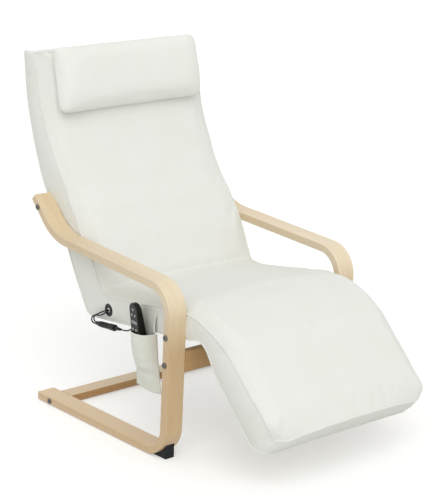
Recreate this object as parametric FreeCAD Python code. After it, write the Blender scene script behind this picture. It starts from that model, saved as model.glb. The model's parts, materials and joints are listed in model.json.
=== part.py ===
import FreeCAD, Part
import math
import os

# Bentwood lounge chair with a padded massage mattress and a wired handset.
# X runs across the chair, the sitter faces -Y, Z is up. Millimetres.
# The side with the handset pocket is at -X, the sitter's right.
# The model is drawn with Y zero at the front of the leg on the floor
# and is moved at the end so that the origin lies under the middle of the chair.

V = FreeCAD.Vector

# Overall and timber
overall_width = 680.0
band_width = 60.0
band_thickness = 23.0
band_edge_round = 2.5
glide_height = 2.0

# Side frame outline, along its outer surface
leg_front_height = 496.0
leg_lean_angle = 4.0
arm_rise_angle = 4.6
arm_length = 558.0
arm_end_length = 137.0
arm_end_angle = 47.0
arm_rear_bend_radius = 150.0
front_bend_radius = 87.0
floor_bend_radius = 92.0
runner_length = 633.5

# Cross members
rail_height = 60.0
rail_centre_height = 278.5
stretcher_width = 57.5
stretcher_centre_y = 567.0
joint_gap = 0.1

# Bolts and nuts
bolt_diameter = 8.0
bolt_head_diameter = 16.0
bolt_head_height = 4.0
bolt_head_round = 1.2
bolt_head_overlap_share = 0.25
bolt_socket_width = 5.0
bolt_socket_depth = 2.4
bolt_clearance = 0.4
bolt_grip_in_timber = 42.0
barrel_nut_diameter = 12.0
barrel_nut_length = 17.0
barrel_nut_clearance = 0.15
nut_thread_reach = 8.0
arm_bolt_from_end = 37.0

# Front foot wedge and glides
foot_width = 30.0
foot_front_y = 10.0
foot_rear_y = 66.0
foot_front_rake = 2.5
foot_round = 1.5
foot_gap = 0.3
foot_screw_diameter = 3.5
glide_diameter = 24.0
glide_inset = 45.0
glide_recess = 1.0

# Pad path along its underside and back, as lengths and angles
leg_rest_length = 348.0
leg_rest_angle = 47.0
seat_pan_length = 521.0
seat_pan_angle = 4.95
knee_underside_y = -80.7
knee_underside_height = 347.0
back_lower_length = 575.0
back_lower_angle = 30.0
head_length = 238.0
head_angle = 6.0
knee_under_radius = 30.0
seat_rear_radius = 36.0
upper_back_radius = 720.0

# Pad section
pad_side_gap = 0.5
pad_leg_depth = 119.0
pad_seat_depth = 106.0
pad_back_depth = 131.0
pad_head_depth = 105.0
pad_crown = 8.0
pad_edge_width = 42.0
pad_edge_rise = 40.0
pad_front_corner_round = 34.0
pad_rear_edge_round = 7.0
pad_end_edge_round = 8.0
pad_corner_round = 10.0
knee_front_radius = 265.0
crease_radius = 9.0
crease_depth = 29.0
upper_back_front_radius = 640.0
end_split_share = 0.3
crown_power = 2.6
crown_station_shares = (0.45, 0.78)
edge_angles = (0.0, 24.0, 46.0, 68.0, 90.0)

# Pad layers
cover_thickness = 2.5
cover_clearance = 0.5
tube_back_clearance = 2.0
tube_side_clearance = 3.0
tube_diameter = 22.0
tube_wall = 1.5
tube_bend_radius = 46.0
cross_tube_diameter = 19.0
sling_thickness = 1.6
sling_gap = 0.3
foam_split_gap = 1.0
foam_end_gap = 1.5
heater_thickness = 1.5
heater_width = 300.0
heater_length = 190.0
heater_corner = 14.0
heater_path_share = 0.36
foot_cross_tube_share = 0.12
seat_front_cross_tube_share = 0.22
lumbar_cross_tube_share = 0.20
head_cross_tube_share = 0.72
mount_bush_diameter = 16.0
mount_hole_clearance = 0.5

# Vibration motors
motor_diameter = 60.0
motor_height = 24.0
motor_wall = 2.2
motor_round = 3.0
motor_pocket_clearance = 0.8
motor_shaft_diameter = 4.0
motor_shaft_clearance = 0.05
rotor_radius = 22.0
rotor_thickness = 9.0
rotor_hub_diameter = 9.0
rotor_sweep_angle = 170.0
rotor_middle_share = 0.5
motor_calf_share = 0.55
motor_seat_share = 0.42
motor_lumbar_share = 0.30
motor_upper_share = 0.66

# Control box under the seat
control_box_width = 86.0
control_box_length = 62.0
control_box_height = 20.0
control_box_wall = 2.0
control_box_round = 3.0
control_box_from_side = 24.0
control_box_path_share = 0.62

# Grommet and leads
grommet_y = 331.0
grommet_above_underside = 31.66
grommet_diameter = 38.0
grommet_flange = 2.6
grommet_neck_diameter = 22.0
grommet_bore = 13.0
grommet_round = 1.1
grommet_gap = 0.3
lead_diameter = 4.0
lead_pitch = 4.8

# In line connector
connector_x_outside_pad = 17.0
connector_rear_y = 371.0
connector_rear_height = 298.0
connector_rise_angle = 4.3
socket_boot_length = 16.0
socket_boot_rear_diameter = 11.0
socket_boot_front_diameter = 13.5
socket_length = 52.0
socket_diameter = 16.0
socket_rib_diameter = 17.6
socket_rib_width = 3.0
socket_rib_count = 3
plug_length = 24.0
plug_diameter = 19.0
plug_boot_length = 26.0
plug_boot_rear_diameter = 12.5
plug_boot_front_diameter = 7.5
connector_edge = 1.0

# Pocket
pocket_width = 104.0
pocket_front_y = 97.0
pocket_length = 236.0
pocket_top_height = 394.0
fabric_thickness = 1.5
pocket_gap = 0.3
pocket_bottom_lift = 4.0
pocket_mouth_height = 321.0
pocket_mouth_bulge = 43.0
pocket_mid_height = 262.0
pocket_mid_bulge = 41.0
pocket_low_height = 212.0
pocket_low_bulge = 23.0
pocket_bottom_bulge = 9.0
pocket_mouth_front_in = 6.0
pocket_seam_in = 2.0

# Handset
handset_length = 150.0
handset_width = 45.0
handset_depth_bottom = 27.0
handset_depth_top = 15.0
handset_taper_start = 38.0
handset_top_radius = 20.0
handset_edge_round = 2.4
handset_wall = 2.0
handset_face_depth = 9.0
handset_yaw = 8.0
handset_lean = 5.0
handset_bottom_height = 263.5
handset_centre_y = 152.0
handset_stand_off = 0.6
board_thickness = 1.4
board_margin = 1.2
board_post_diameter = 4.0
board_post_inset = 5.0
button_diameter = 7.0
button_clearance = 0.25
button_proud = 1.3
button_flange_diameter = 9.4
button_flange_thickness = 1.0
button_flange_gap = 0.1
button_edge = 0.5
button_pitch = 17.0
button_row_top = 132.0
button_row_zone = 116.0
button_row_level = 74.0
button_row_heat = 56.0
display_length = 31.0
display_height = 9.0
display_centre = 95.0
display_thickness = 1.2
display_clearance = 0.1
display_corner = 1.5
strain_relief_length = 9.0
strain_relief_diameter = 8.0
strain_relief_end_diameter = 6.0

# Leads, as places out from the pad, along Y and up
outer_lead_at_grommet = ((9.0, 2.6, -0.2), (17.0, 11.5, -4.5), (20.0, 27.0, -13.5))
outer_lead_at_connector = ((20.5, 4.0, 23.5), (20.0, 17.5, 16.5), (19.0, 24.0, 6.5), (18.0, 20.0, -2.5))
outer_lead_straight = 10.0
inner_lead_at_grommet = ((8.0, -2.2, -0.5), (12.5, 4.0, -8.0), (14.5, 19.5, -17.5))
inner_lead_at_connector = ((14.5, -5.0, 23.5), (14.3, 7.0, 22.0), (14.5, 16.0, 16.5), (15.3, 17.5, 7.5))
inner_lead_straight = 9.2
handset_lead_diameter = 4.0
handset_lead_straight = 18.0
handset_lead_in_pocket = (
    (15.5, 120.0, 158.0),
    (13.5, 106.0, 170.5),
    (12.5, 93.5, 169.5),
    (12.5, 89.5, 155.0),
    (12.0, 89.0, 132.0),
    (11.0, 89.5, 101.0),
    (9.5, 90.5, 66.0),
    (7.0, 86.0, 36.0),
    (6.0, 66.0, 20.0),
    (6.0, 42.0, 17.0),
    (6.8, 20.0, 27.0),
)
handset_lead_tail_points = ((9.5, 17.5, 54.0), (12.5, 28.0, 68.5), (16.5, 43.0, 75.0))
handset_tail_straight = 11.0
lead_radius_limit = 3.0
arc_run_share = 0.45

# Head pillow
pillow_width = 516.0
pillow_height = 186.0
pillow_thickness = 58.0
pillow_edge_thickness = 12.0
pillow_top_over_pad = 13.0
pillow_tilt = 12.5
pillow_gap = -3.0
pillow_side_draw = 10.0
# Along the height from the middle and through the thickness: back, top, front, bottom
pillow_section_shares = (
    (-0.40, 0.10),
    (0.0, 0.0),
    (0.40, 0.10),
    (0.50, 0.42),
    (0.36, 0.84),
    (0.0, 1.0),
    (-0.38, 0.90),
    (-0.50, 0.45),
)
# Across the width, each with its share of the thickness
pillow_station_shares = (
    (-1.0, 0.0),
    (-0.955, 0.62),
    (-0.86, 0.86),
    (-0.45, 0.97),
    (0.0, 1.0),
    (0.45, 0.97),
    (0.86, 0.86),
    (0.955, 0.62),
    (1.0, 0.0),
)
strip_width = 40.0
strip_length = 90.0
strip_thickness = 2.5
strip_spacing = 300.0
strip_gap = 0.2

half_width = overall_width / 2
band_inner_x = half_width - band_width
pad_width = 2 * (band_inner_x - pad_side_gap)
pad_half = pad_width / 2
overrun = band_thickness


def rad(angle):
    return math.radians(angle)


def heading(angle):
    """Unit step in Y and Z for an angle above the +Y direction."""
    return (math.cos(rad(angle)), math.sin(rad(angle)))


def step(point, angle, length):
    direction = heading(angle)
    return (point[0] + length * direction[0], point[1] + length * direction[1])


def between(first, second, share):
    return (first[0] + share * (second[0] - first[0]), first[1] + share * (second[1] - first[1]))


def left_of(point, angle, distance):
    direction = heading(angle)
    return (point[0] - distance * direction[1], point[1] + distance * direction[0])


def meet(point_a, angle_a, point_b, angle_b):
    """Where two lines given by a point and an angle cross."""
    a = heading(angle_a)
    b = heading(angle_b)
    dy = point_b[0] - point_a[0]
    dz = point_b[1] - point_a[1]
    cross = a[0] * b[1] - a[1] * b[0]
    along = (dy * b[1] - dz * b[0]) / cross
    return (point_a[0] + along * a[0], point_a[1] + along * a[1])


def offset_points(points, distances):
    """The same open outline moved to its left, by one distance or by one for each run."""
    if isinstance(distances, float):
        distances = [distances] * (len(points) - 1)
    angles = []
    for first, second in zip(points, points[1:]):
        angles.append(math.degrees(math.atan2(second[1] - first[1], second[0] - first[0])))
    moved = [left_of(points[0], angles[0], distances[0])]
    for index in range(1, len(points) - 1):
        before = left_of(points[index], angles[index - 1], distances[index - 1])
        after = left_of(points[index], angles[index], distances[index])
        moved.append(meet(before, angles[index - 1], after, angles[index]))
    moved.append(left_of(points[-1], angles[-1], distances[-1]))
    return moved


def rounded_edges(points, radii, x):
    """Straight runs joined by arcs, in the plane at x, one radius for each inner point."""
    edges = []
    start = V(x, points[0][0], points[0][1])
    for index in range(1, len(points) - 1):
        corner = V(x, points[index][0], points[index][1])
        before = V(x, points[index - 1][0], points[index - 1][1]) - corner
        after = V(x, points[index + 1][0], points[index + 1][1]) - corner
        before.normalize()
        after.normalize()
        half_opening = before.getAngle(after) / 2
        reach = radii[index - 1] / math.tan(half_opening)
        arc_start = corner + before * reach
        arc_end = corner + after * reach
        middle_way = before + after
        middle_way.normalize()
        middle = corner + middle_way * (radii[index - 1] / math.sin(half_opening) - radii[index - 1])
        edges.append(Part.LineSegment(start, arc_start).toShape())
        edges.append(Part.Arc(arc_start, middle, arc_end).toShape())
        start = arc_end
    edges.append(Part.LineSegment(start, V(x, points[-1][0], points[-1][1])).toShape())
    return edges


def closed_face(points, x):
    corners = [V(x, p[0], p[1]) for p in points]
    return Part.Face(Part.makePolygon(corners + [corners[0]]))


def cylinder_x(x_start, x_end, y, z, diameter):
    return Part.makeCylinder(diameter / 2, x_end - x_start, V(x_start, y, z), V(1, 0, 0))


def box_at(x0, x1, y0, y1, z0, z1):
    return Part.makeBox(x1 - x0, y1 - y0, z1 - z0, V(x0, y0, z0))


def mirrored(shape):
    return shape.mirror(V(0, 0, 0), V(1, 0, 0))


def edges_where(shape, test):
    return [edge for edge in shape.Edges if test(edge)]


def rounded(shape, radius, edges):
    result = shape.makeFillet(radius, edges)
    if result.isValid() and result.Volume > 0:
        return result
    return shape


def single(shape):
    """The one solid of a boolean result."""
    if len(shape.Solids) == 1:
        return shape.Solids[0]
    return shape


nodes = {}

# ---------------------------------------------------------------- side frames
front_top = (-leg_front_height * math.tan(rad(leg_lean_angle)), leg_front_height)
arm_corner = step(front_top, arm_rise_angle, arm_length)
arm_end = step(arm_corner, arm_end_angle, arm_end_length)
floor_front = (-glide_height * math.tan(rad(leg_lean_angle)), glide_height)
runner_rear = (runner_length, glide_height)
outer_line = [arm_end, arm_corner, front_top, floor_front, runner_rear]
outer_radii = [arm_rear_bend_radius, front_bend_radius, floor_bend_radius]
inner_line = offset_points(outer_line, band_thickness)
inner_radii = [
    arm_rear_bend_radius + band_thickness,
    front_bend_radius - band_thickness,
    floor_bend_radius - band_thickness,
]


def band_face(x):
    outer_edges = rounded_edges(outer_line, outer_radii, x)
    inner_edges = rounded_edges(inner_line, inner_radii, x)
    cap_rear = Part.LineSegment(
        V(x, outer_line[-1][0], outer_line[-1][1]), V(x, inner_line[-1][0], inner_line[-1][1])
    ).toShape()
    cap_arm = Part.LineSegment(
        V(x, inner_line[0][0], inner_line[0][1]), V(x, outer_line[0][0], outer_line[0][1])
    ).toShape()
    loop = outer_edges + [cap_rear] + list(reversed(inner_edges)) + [cap_arm]
    return Part.Face(Part.Wire(Part.__sortEdges__(loop)))


frame_solid = band_face(-half_width).extrude(V(band_width, 0, 0))
long_edges = edges_where(
    frame_solid, lambda e: abs(e.BoundBox.XMax - e.BoundBox.XMin) < band_edge_round / 100
)
frame_solid = rounded(frame_solid, band_edge_round, long_edges)

leg_angle = 90 + leg_lean_angle


def leg_centre_y(height):
    return -height * math.tan(rad(leg_lean_angle)) + band_thickness / 2 / math.cos(rad(leg_lean_angle))


# ---------------------------------------------------------------- pad path
knee_under = (knee_underside_y, knee_underside_height)
foot_under = step(knee_under, 180 + leg_rest_angle, leg_rest_length)
seat_rear_under = step(knee_under, -seat_pan_angle, seat_pan_length)
upper_corner = step(seat_rear_under, 90 - back_lower_angle, back_lower_length)
head_under = step(upper_corner, 90 - head_angle, head_length)
under_line = [foot_under, knee_under, seat_rear_under, upper_corner, head_under]
path_angles = [leg_rest_angle, -seat_pan_angle, 90 - back_lower_angle, 90 - head_angle]
grommet_drop = (grommet_y - knee_underside_y) * math.tan(rad(seat_pan_angle))
grommet_height = knee_underside_height - grommet_drop + grommet_above_underside


def point_on_pad(part_index, share, depth):
    """A place along one run of the pad path, at a depth above its underside."""
    first = under_line[part_index]
    second = under_line[part_index + 1]
    return left_of(between(first, second, share), path_angles[part_index], depth)


def trimmed(points, end_in):
    """The outline with both ends drawn in along its own runs."""
    angles_start = math.degrees(math.atan2(points[1][1] - points[0][1], points[1][0] - points[0][0]))
    angles_end = math.degrees(math.atan2(points[-1][1] - points[-2][1], points[-1][0] - points[-2][0]))
    first = step(points[0], angles_start, end_in)
    last = step(points[-1], angles_end, -end_in)
    return [first] + points[1:-1] + [last]


pad_depths = [pad_leg_depth, pad_seat_depth, pad_back_depth, pad_head_depth]


def pad_wire(x, rear_depth, front_extra, end_in):
    """Closed outline of the pad at one x, its front moved out by front_extra."""
    rear = trimmed(offset_points(under_line, rear_depth), end_in)
    front = trimmed(offset_points(under_line, [depth + front_extra for depth in pad_depths]), end_in)
    rear_radii = [knee_under_radius + rear_depth, seat_rear_radius, upper_back_radius - rear_depth]
    front_radii = [knee_front_radius + front_extra, crease_radius, upper_back_front_radius - front_extra]
    bisector = (path_angles[1] + path_angles[2]) / 2 + 90
    front[2] = step(front[2], bisector, -crease_depth)
    middle_top = between(rear[-1], front[-1], end_split_share)
    middle_foot = between(rear[0], front[0], end_split_share)
    rear_radii = [pad_corner_round] + rear_radii + [pad_corner_round]
    front_radii = [pad_front_corner_round] + front_radii + [pad_front_corner_round]
    edges = rounded_edges([middle_foot] + rear + [middle_top], rear_radii, x)
    edges += rounded_edges([middle_top] + list(reversed(front)) + [middle_foot], list(reversed(front_radii)), x)
    return Part.Wire(edges)


def layer_wire(x, rear_depth, front_depth, end_in):
    """Closed outline between two depths above the underside, parallel to the side tubes."""
    rear = trimmed(offset_points(under_line, rear_depth), end_in)
    front = trimmed(offset_points(under_line, front_depth), end_in)

    def radii(depth):
        return [
            tube_bend_radius - tube_line_depth + depth,
            tube_bend_radius + tube_line_depth - depth,
            upper_back_radius - depth,
        ]

    rear_edges = rounded_edges(rear, radii(rear_depth), x)
    front_edges = rounded_edges(list(reversed(front)), list(reversed(radii(front_depth))), x)
    top = Part.LineSegment(V(x, rear[-1][0], rear[-1][1]), V(x, front[-1][0], front[-1][1])).toShape()
    foot = Part.LineSegment(V(x, front[0][0], front[0][1]), V(x, rear[0][0], rear[0][1])).toShape()
    return Part.Wire(rear_edges + [top] + front_edges + [foot])


tube_line_depth = cover_thickness + tube_back_clearance + tube_diameter / 2
tube_layer = cover_thickness + tube_back_clearance + tube_diameter
sling_rear_depth = tube_layer + sling_gap
sling_front_depth = sling_rear_depth + sling_thickness
foam_rear_depth = sling_front_depth + sling_gap


def crown_at(x):
    share = min(1.0, abs(x) / (pad_half - pad_edge_width))
    return pad_crown * (1 - share ** crown_power)


def pad_stations():
    """Places across the pad, each with the share by which its edge has rounded in there."""
    places = []
    for share in crown_station_shares:
        places.append((share * (pad_half - pad_edge_width), 0.0))
    for angle in edge_angles:
        places.append((pad_half - pad_edge_width * (1 - math.sin(rad(angle))), 1 - math.cos(rad(angle))))
    left = [(-x, inset) for x, inset in reversed(places)]
    return left + [(0.0, 0.0)] + places


def pad_loft(rear_in, front_in, end_in, side_in):
    """Crowned pad form, drawn in by the given amounts from the outer surface."""
    wires = []
    squeeze = (pad_half - side_in) / pad_half
    for x, inset in pad_stations():
        wires.append(
            pad_wire(
                x * squeeze,
                rear_in + inset * pad_rear_edge_round,
                crown_at(x) - front_in - inset * pad_edge_rise,
                end_in + inset * pad_end_edge_round,
            )
        )
    return Part.makeLoft(wires, True, True)


pad_outer = pad_loft(0.0, 0.0, 0.0, 0.0)
pad_cavity = pad_loft(cover_thickness, cover_thickness, cover_thickness, cover_thickness)
pad_cover = pad_outer.cut(pad_cavity)

inner_clear = cover_thickness + cover_clearance
foam_loft = pad_loft(inner_clear, inner_clear, foam_end_gap + inner_clear, inner_clear)

# Everything behind the foam is kept free for the tubes and the sling
layer_half = pad_half - inner_clear


def layer_solid(rear_depth, front_depth, end_in, half):
    wire = layer_wire(-half, rear_depth, front_depth, end_in)
    return Part.Face(wire).extrude(V(2 * half, 0, 0))


below_foam = layer_solid(-overrun, foam_rear_depth, -overrun, pad_half + overrun)
foam_whole = foam_loft.cut(below_foam)
sling = layer_solid(
    sling_rear_depth, sling_front_depth, inner_clear + pad_corner_round, layer_half - pad_rear_edge_round
)

# Side tubes
tube_x = layer_half - tube_side_clearance - tube_diameter / 2
tube_line = trimmed(offset_points(under_line, tube_line_depth), inner_clear + tube_diameter)


def tube_radii():
    return [
        tube_bend_radius,
        tube_bend_radius,
        upper_back_radius - tube_line_depth,
    ]


tube_path = Part.Wire(rounded_edges(tube_line, tube_radii(), -tube_x))


def tube_along(path, diameter):
    first = path.Edges[0]
    start = first.valueAt(first.FirstParameter)
    direction = first.tangentAt(first.FirstParameter)
    circle = Part.Wire(Part.makeCircle(diameter / 2, start, direction))
    return path.makePipeShell([circle], True, True)


side_tube = single(tube_along(tube_path, tube_diameter).cut(tube_along(tube_path, tube_diameter - 2 * tube_wall)))


def cross_tube(y, z):
    reach = tube_x - math.sqrt((tube_diameter / 2) ** 2 - (cross_tube_diameter / 2) ** 2)
    outer = cylinder_x(-tube_x, tube_x, y, z, cross_tube_diameter)
    bore = cylinder_x(-tube_x - overrun, tube_x + overrun, y, z, cross_tube_diameter - 2 * tube_wall)
    joint = Part.makeCompound([side_tube_solid, mirrored(side_tube_solid)])
    return outer.cut(bore).cut(joint)


side_tube_solid = tube_along(tube_path, tube_diameter)
cross_places = {
    "foot_cross_tube": point_on_pad(0, foot_cross_tube_share, tube_line_depth),
    "seat_front_cross_tube": point_on_pad(1, seat_front_cross_tube_share, tube_line_depth),
    "lumbar_cross_tube": point_on_pad(2, lumbar_cross_tube_share, tube_line_depth),
    "head_cross_tube": point_on_pad(3, head_cross_tube_share, tube_line_depth),
}

# Bolt places
end_angle = arm_end_angle
arm_bolt_on_top = step(arm_end, end_angle, -arm_bolt_from_end)
arm_bolt_place = left_of(arm_bolt_on_top, end_angle, -band_thickness / 2)
seat_line_point = left_of(knee_under, path_angles[1], tube_line_depth)
leg_centre_top = (leg_centre_y(leg_front_height), leg_front_height)
seat_bolt_place = meet(seat_line_point, path_angles[1], leg_centre_top, leg_angle)
rail_bolt_place = (leg_centre_y(rail_centre_height), rail_centre_height)
runner_centre_height = glide_height + band_thickness / 2
stretcher_bolt_place = (stretcher_centre_y, runner_centre_height)


def bolt(place, tip_x):
    """A bolt from the outer face of the side frame inwards to tip_x."""
    y, z = place
    head = cylinder_x(-half_width - bolt_head_height, -half_width, y, z, bolt_head_diameter)
    rim = edges_where(
        head,
        lambda e: e.Curve.TypeId == "Part::GeomCircle"
        and abs(e.BoundBox.XMax - (-half_width - bolt_head_height)) < bolt_head_round / 100,
    )
    head = rounded(head, bolt_head_round, rim)
    corners = []
    for index in range(6):
        angle = rad(60 * index)
        reach = bolt_socket_width / 2 / math.cos(rad(30))
        corners.append(
            V(-half_width - bolt_head_height, y + reach * math.cos(angle), z + reach * math.sin(angle))
        )
    socket = Part.Face(Part.makePolygon(corners + [corners[0]])).extrude(V(bolt_socket_depth, 0, 0))
    shank = cylinder_x(-half_width - bolt_head_height * bolt_head_overlap_share, tip_x, y, z, bolt_diameter)
    return single(head.fuse(shank).cut(socket))


def bolt_hole(place, x_end):
    return cylinder_x(-half_width - overrun, x_end, place[0], place[1], bolt_diameter + bolt_clearance)


tip_in_tube = -tube_x - tube_diameter / 2 + tube_wall + nut_thread_reach
tip_in_timber = -band_inner_x + bolt_grip_in_timber
arm_bolt = bolt(arm_bolt_place, tip_in_tube)
seat_bolt = bolt(seat_bolt_place, tip_in_tube)
rail_bolt = bolt(rail_bolt_place, tip_in_timber)
stretcher_bolt = bolt(stretcher_bolt_place, tip_in_timber)
for place in (arm_bolt_place, seat_bolt_place, rail_bolt_place, stretcher_bolt_place):
    frame_solid = frame_solid.cut(bolt_hole(place, -band_inner_x + overrun))

# Glides in shallow recesses under the runners
glide_x = half_width - band_width / 2
glide_places_y = (floor_bend_radius + glide_inset, runner_length - glide_inset)


def glide_at(y, extra):
    return Part.makeCylinder(
        (glide_diameter + extra) / 2, glide_height + glide_recess, V(-glide_x, y, 0), V(0, 0, 1)
    )


glides = [glide_at(y, 0.0) for y in glide_places_y]
for y in glide_places_y:
    frame_solid = frame_solid.cut(glide_at(y, joint_gap))

# Front foot wedge under the floor bend
foot_outline = closed_face(
    [
        (foot_front_y + foot_front_rake, 0.0),
        (foot_rear_y, 0.0),
        (foot_rear_y, floor_bend_radius),
        (foot_front_y - foot_front_rake, floor_bend_radius),
    ],
    -glide_x - foot_width / 2,
)
foot = foot_outline.extrude(V(foot_width, 0, 0))
bend_line = offset_points(outer_line, -foot_gap)
bend_radii = [arm_rear_bend_radius - foot_gap, front_bend_radius + foot_gap, floor_bend_radius + foot_gap]
bend_edges = rounded_edges(bend_line, bend_radii, -half_width - overrun)
bend_close = Part.LineSegment(
    V(-half_width - overrun, bend_line[-1][0], bend_line[-1][1]),
    V(-half_width - overrun, bend_line[0][0], bend_line[0][1]),
).toShape()
bend_block = Part.Face(Part.Wire(Part.__sortEdges__(bend_edges + [bend_close]))).extrude(
    V(band_width + 2 * overrun, 0, 0)
)
foot = single(foot.cut(bend_block))
foot_uprights = edges_where(
    foot,
    lambda e: e.BoundBox.YMax < foot_front_y + 2 * foot_front_rake and e.BoundBox.ZLength > foot_width / 2,
)
foot = rounded(foot, foot_round, foot_uprights)

# Rail and stretcher with barrel nuts
rail_outline_top = rail_centre_height + rail_height / 2
rail_outline_bottom = rail_centre_height - rail_height / 2
rail_front_bottom = (-rail_outline_bottom * math.tan(rad(leg_lean_angle)), rail_outline_bottom)
rail_front_top = step(rail_front_bottom, leg_angle, rail_height)
rail_face = closed_face(
    [
        rail_front_bottom,
        left_of(rail_front_bottom, leg_angle, -band_thickness),
        left_of(rail_front_top, leg_angle, -band_thickness),
        rail_front_top,
    ],
    -band_inner_x + joint_gap,
)
rail_length = 2 * (band_inner_x - joint_gap)
rail = rail_face.extrude(V(rail_length, 0, 0))
rail = rounded(
    rail, band_edge_round, edges_where(rail, lambda e: abs(e.BoundBox.XLength - rail_length) < band_edge_round / 100)
)
stretcher = box_at(
    -band_inner_x + joint_gap,
    band_inner_x - joint_gap,
    stretcher_centre_y - stretcher_width / 2,
    stretcher_centre_y + stretcher_width / 2,
    glide_height,
    glide_height + band_thickness,
)
stretcher = rounded(
    stretcher,
    band_edge_round,
    edges_where(stretcher, lambda e: abs(e.BoundBox.XLength - rail_length) < band_edge_round / 100),
)
nut_x = tip_in_timber - nut_thread_reach
rail_nut_direction = V(0, math.cos(rad(leg_lean_angle)), math.sin(rad(leg_lean_angle)))


def barrel_nut(place, direction, clearance, length):
    middle = V(nut_x, place[0], place[1])
    start = middle - direction * (length / 2)
    body = Part.makeCylinder((barrel_nut_diameter + clearance) / 2, length, start, direction)
    return body


rail_nut = barrel_nut(rail_bolt_place, rail_nut_direction, 0.0, barrel_nut_length)
stretcher_nut = barrel_nut(stretcher_bolt_place, V(0, 0, 1), 0.0, barrel_nut_length)
rail_nut_hole = barrel_nut(rail_bolt_place, rail_nut_direction, barrel_nut_clearance, barrel_nut_length + barrel_nut_clearance)
stretcher_nut_hole = barrel_nut(
    stretcher_bolt_place, V(0, 0, 1), barrel_nut_clearance, barrel_nut_length + barrel_nut_clearance
)
rail_bore = cylinder_x(
    -half_width, tip_in_timber + bolt_clearance, rail_bolt_place[0], rail_bolt_place[1], bolt_diameter + bolt_clearance
)
stretcher_bore = cylinder_x(
    -half_width,
    tip_in_timber + bolt_clearance,
    stretcher_bolt_place[0],
    stretcher_bolt_place[1],
    bolt_diameter + bolt_clearance,
)
for cutter in (rail_nut_hole, rail_bore):
    rail = rail.cut(cutter).cut(mirrored(cutter))
for cutter in (stretcher_nut_hole, stretcher_bore):
    stretcher = stretcher.cut(cutter).cut(mirrored(cutter))
rail_nut = single(rail_nut.cut(rail_bolt))
stretcher_nut = single(stretcher_nut.cut(stretcher_bolt))

# Mount bushes between the side tubes and the side frames
bush_outer_x = -band_inner_x
bush_inner_x = -tube_x - tube_diameter / 4


def mount_bush(place):
    body = cylinder_x(bush_outer_x, bush_inner_x, place[0], place[1], mount_bush_diameter)
    bore = cylinder_x(bush_outer_x - overrun, bush_inner_x + overrun, place[0], place[1], bolt_diameter + bolt_clearance)
    return single(body.cut(side_tube_solid).cut(bore))


arm_bush = mount_bush(arm_bolt_place)
seat_bush = mount_bush(seat_bolt_place)
tube_holes = []
cover_holes = []
for place in (arm_bolt_place, seat_bolt_place):
    tube_holes.append(cylinder_x(-half_width, tip_in_tube + bolt_clearance, place[0], place[1], bolt_diameter + bolt_clearance))
    cover_holes.append(
        cylinder_x(-half_width, -tube_x, place[0], place[1], mount_bush_diameter + 2 * mount_hole_clearance)
    )
for hole in tube_holes:
    side_tube = side_tube.cut(hole)
side_tube = single(side_tube)
for hole in cover_holes:
    pad_cover = pad_cover.cut(hole).cut(mirrored(hole))
    foam_whole = foam_whole.cut(hole).cut(mirrored(hole))

# Foam split through the crease
split_front = left_of(seat_rear_under, (path_angles[1] + path_angles[2]) / 2, 2 * pad_back_depth)
split_angle = (path_angles[1] + path_angles[2]) / 2 + 90


def split_block(side):
    """Half space on one side of the crease plane: side +1 towards the back, -1 towards the seat."""
    size = back_lower_length + head_length + seat_pan_length
    along = split_angle - 90
    start = step(seat_rear_under, along, side * foam_split_gap / 2)
    a = step(start, split_angle, size)
    b = step(start, split_angle, -size)
    c = step(b, along, side * size)
    d = step(a, along, side * size)
    return closed_face([a, b, c, d], -pad_half - overrun).extrude(V(pad_width + 2 * overrun, 0, 0))


foam_back = foam_whole.common(split_block(1))
foam_seat = foam_whole.common(split_block(-1))

# Motors in pockets in the rear of the foam
motor_places = {
    "calf": (0, motor_calf_share),
    "seat": (1, motor_seat_share),
    "lumbar": (2, motor_lumbar_share),
    "upper_back": (2, motor_upper_share),
}


def motor_frame(part_index, share):
    base = point_on_pad(part_index, share, sling_front_depth + sling_gap)
    angle = path_angles[part_index]
    normal = V(0, -math.sin(rad(angle)), math.cos(rad(angle)))
    return V(0, base[0], base[1]), normal


def motor_pieces(part_index, share):
    base, normal = motor_frame(part_index, share)
    body = Part.makeCylinder(motor_diameter / 2, motor_height, base, normal)
    rim = edges_where(body, lambda e: e.Curve.TypeId == "Part::GeomCircle")
    body = rounded(body, motor_round, rim)
    room = Part.makeCylinder(
        motor_diameter / 2 - motor_wall, motor_height - 2 * motor_wall, base + normal * motor_wall, normal
    )
    boss_radius = rotor_hub_diameter / 2
    gap = (motor_height - 2 * motor_wall - rotor_thickness) / 2 - motor_wall / 2
    lower_boss = Part.makeCylinder(boss_radius, gap, base + normal * motor_wall, normal)
    upper_boss = Part.makeCylinder(
        boss_radius, gap, base + normal * (motor_height - motor_wall - gap), normal
    )
    shell = body.cut(room).fuse([lower_boss, upper_boss])
    shaft_start = base + normal * motor_wall
    shaft_length = motor_height - 2 * motor_wall
    bore = Part.makeCylinder(
        motor_shaft_diameter / 2 + motor_shaft_clearance, shaft_length, shaft_start, normal
    )
    shell = single(shell.cut(bore))
    shaft = Part.makeCylinder(
        motor_shaft_diameter / 2,
        shaft_length - 2 * motor_shaft_clearance,
        shaft_start + normal * motor_shaft_clearance,
        normal,
    )
    weight_start = base + normal * (motor_height - rotor_thickness) * rotor_middle_share
    weight = Part.makeCylinder(
        rotor_radius, rotor_thickness, weight_start, normal, rotor_sweep_angle
    )
    hub = Part.makeCylinder(rotor_hub_diameter / 2, rotor_thickness, weight_start, normal)
    rotor = single(shaft.fuse([weight, hub]))
    pocket = Part.makeCylinder(
        motor_diameter / 2 + motor_pocket_clearance,
        motor_height + motor_pocket_clearance + overrun,
        base - normal * overrun,
        normal,
    )
    return shell, rotor, pocket


motors = {}
for zone, (part_index, share) in motor_places.items():
    shell, rotor, pocket = motor_pieces(part_index, share)
    motors[zone] = (shell, rotor)
    foam_back = foam_back.cut(pocket)
    foam_seat = foam_seat.cut(pocket)

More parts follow.
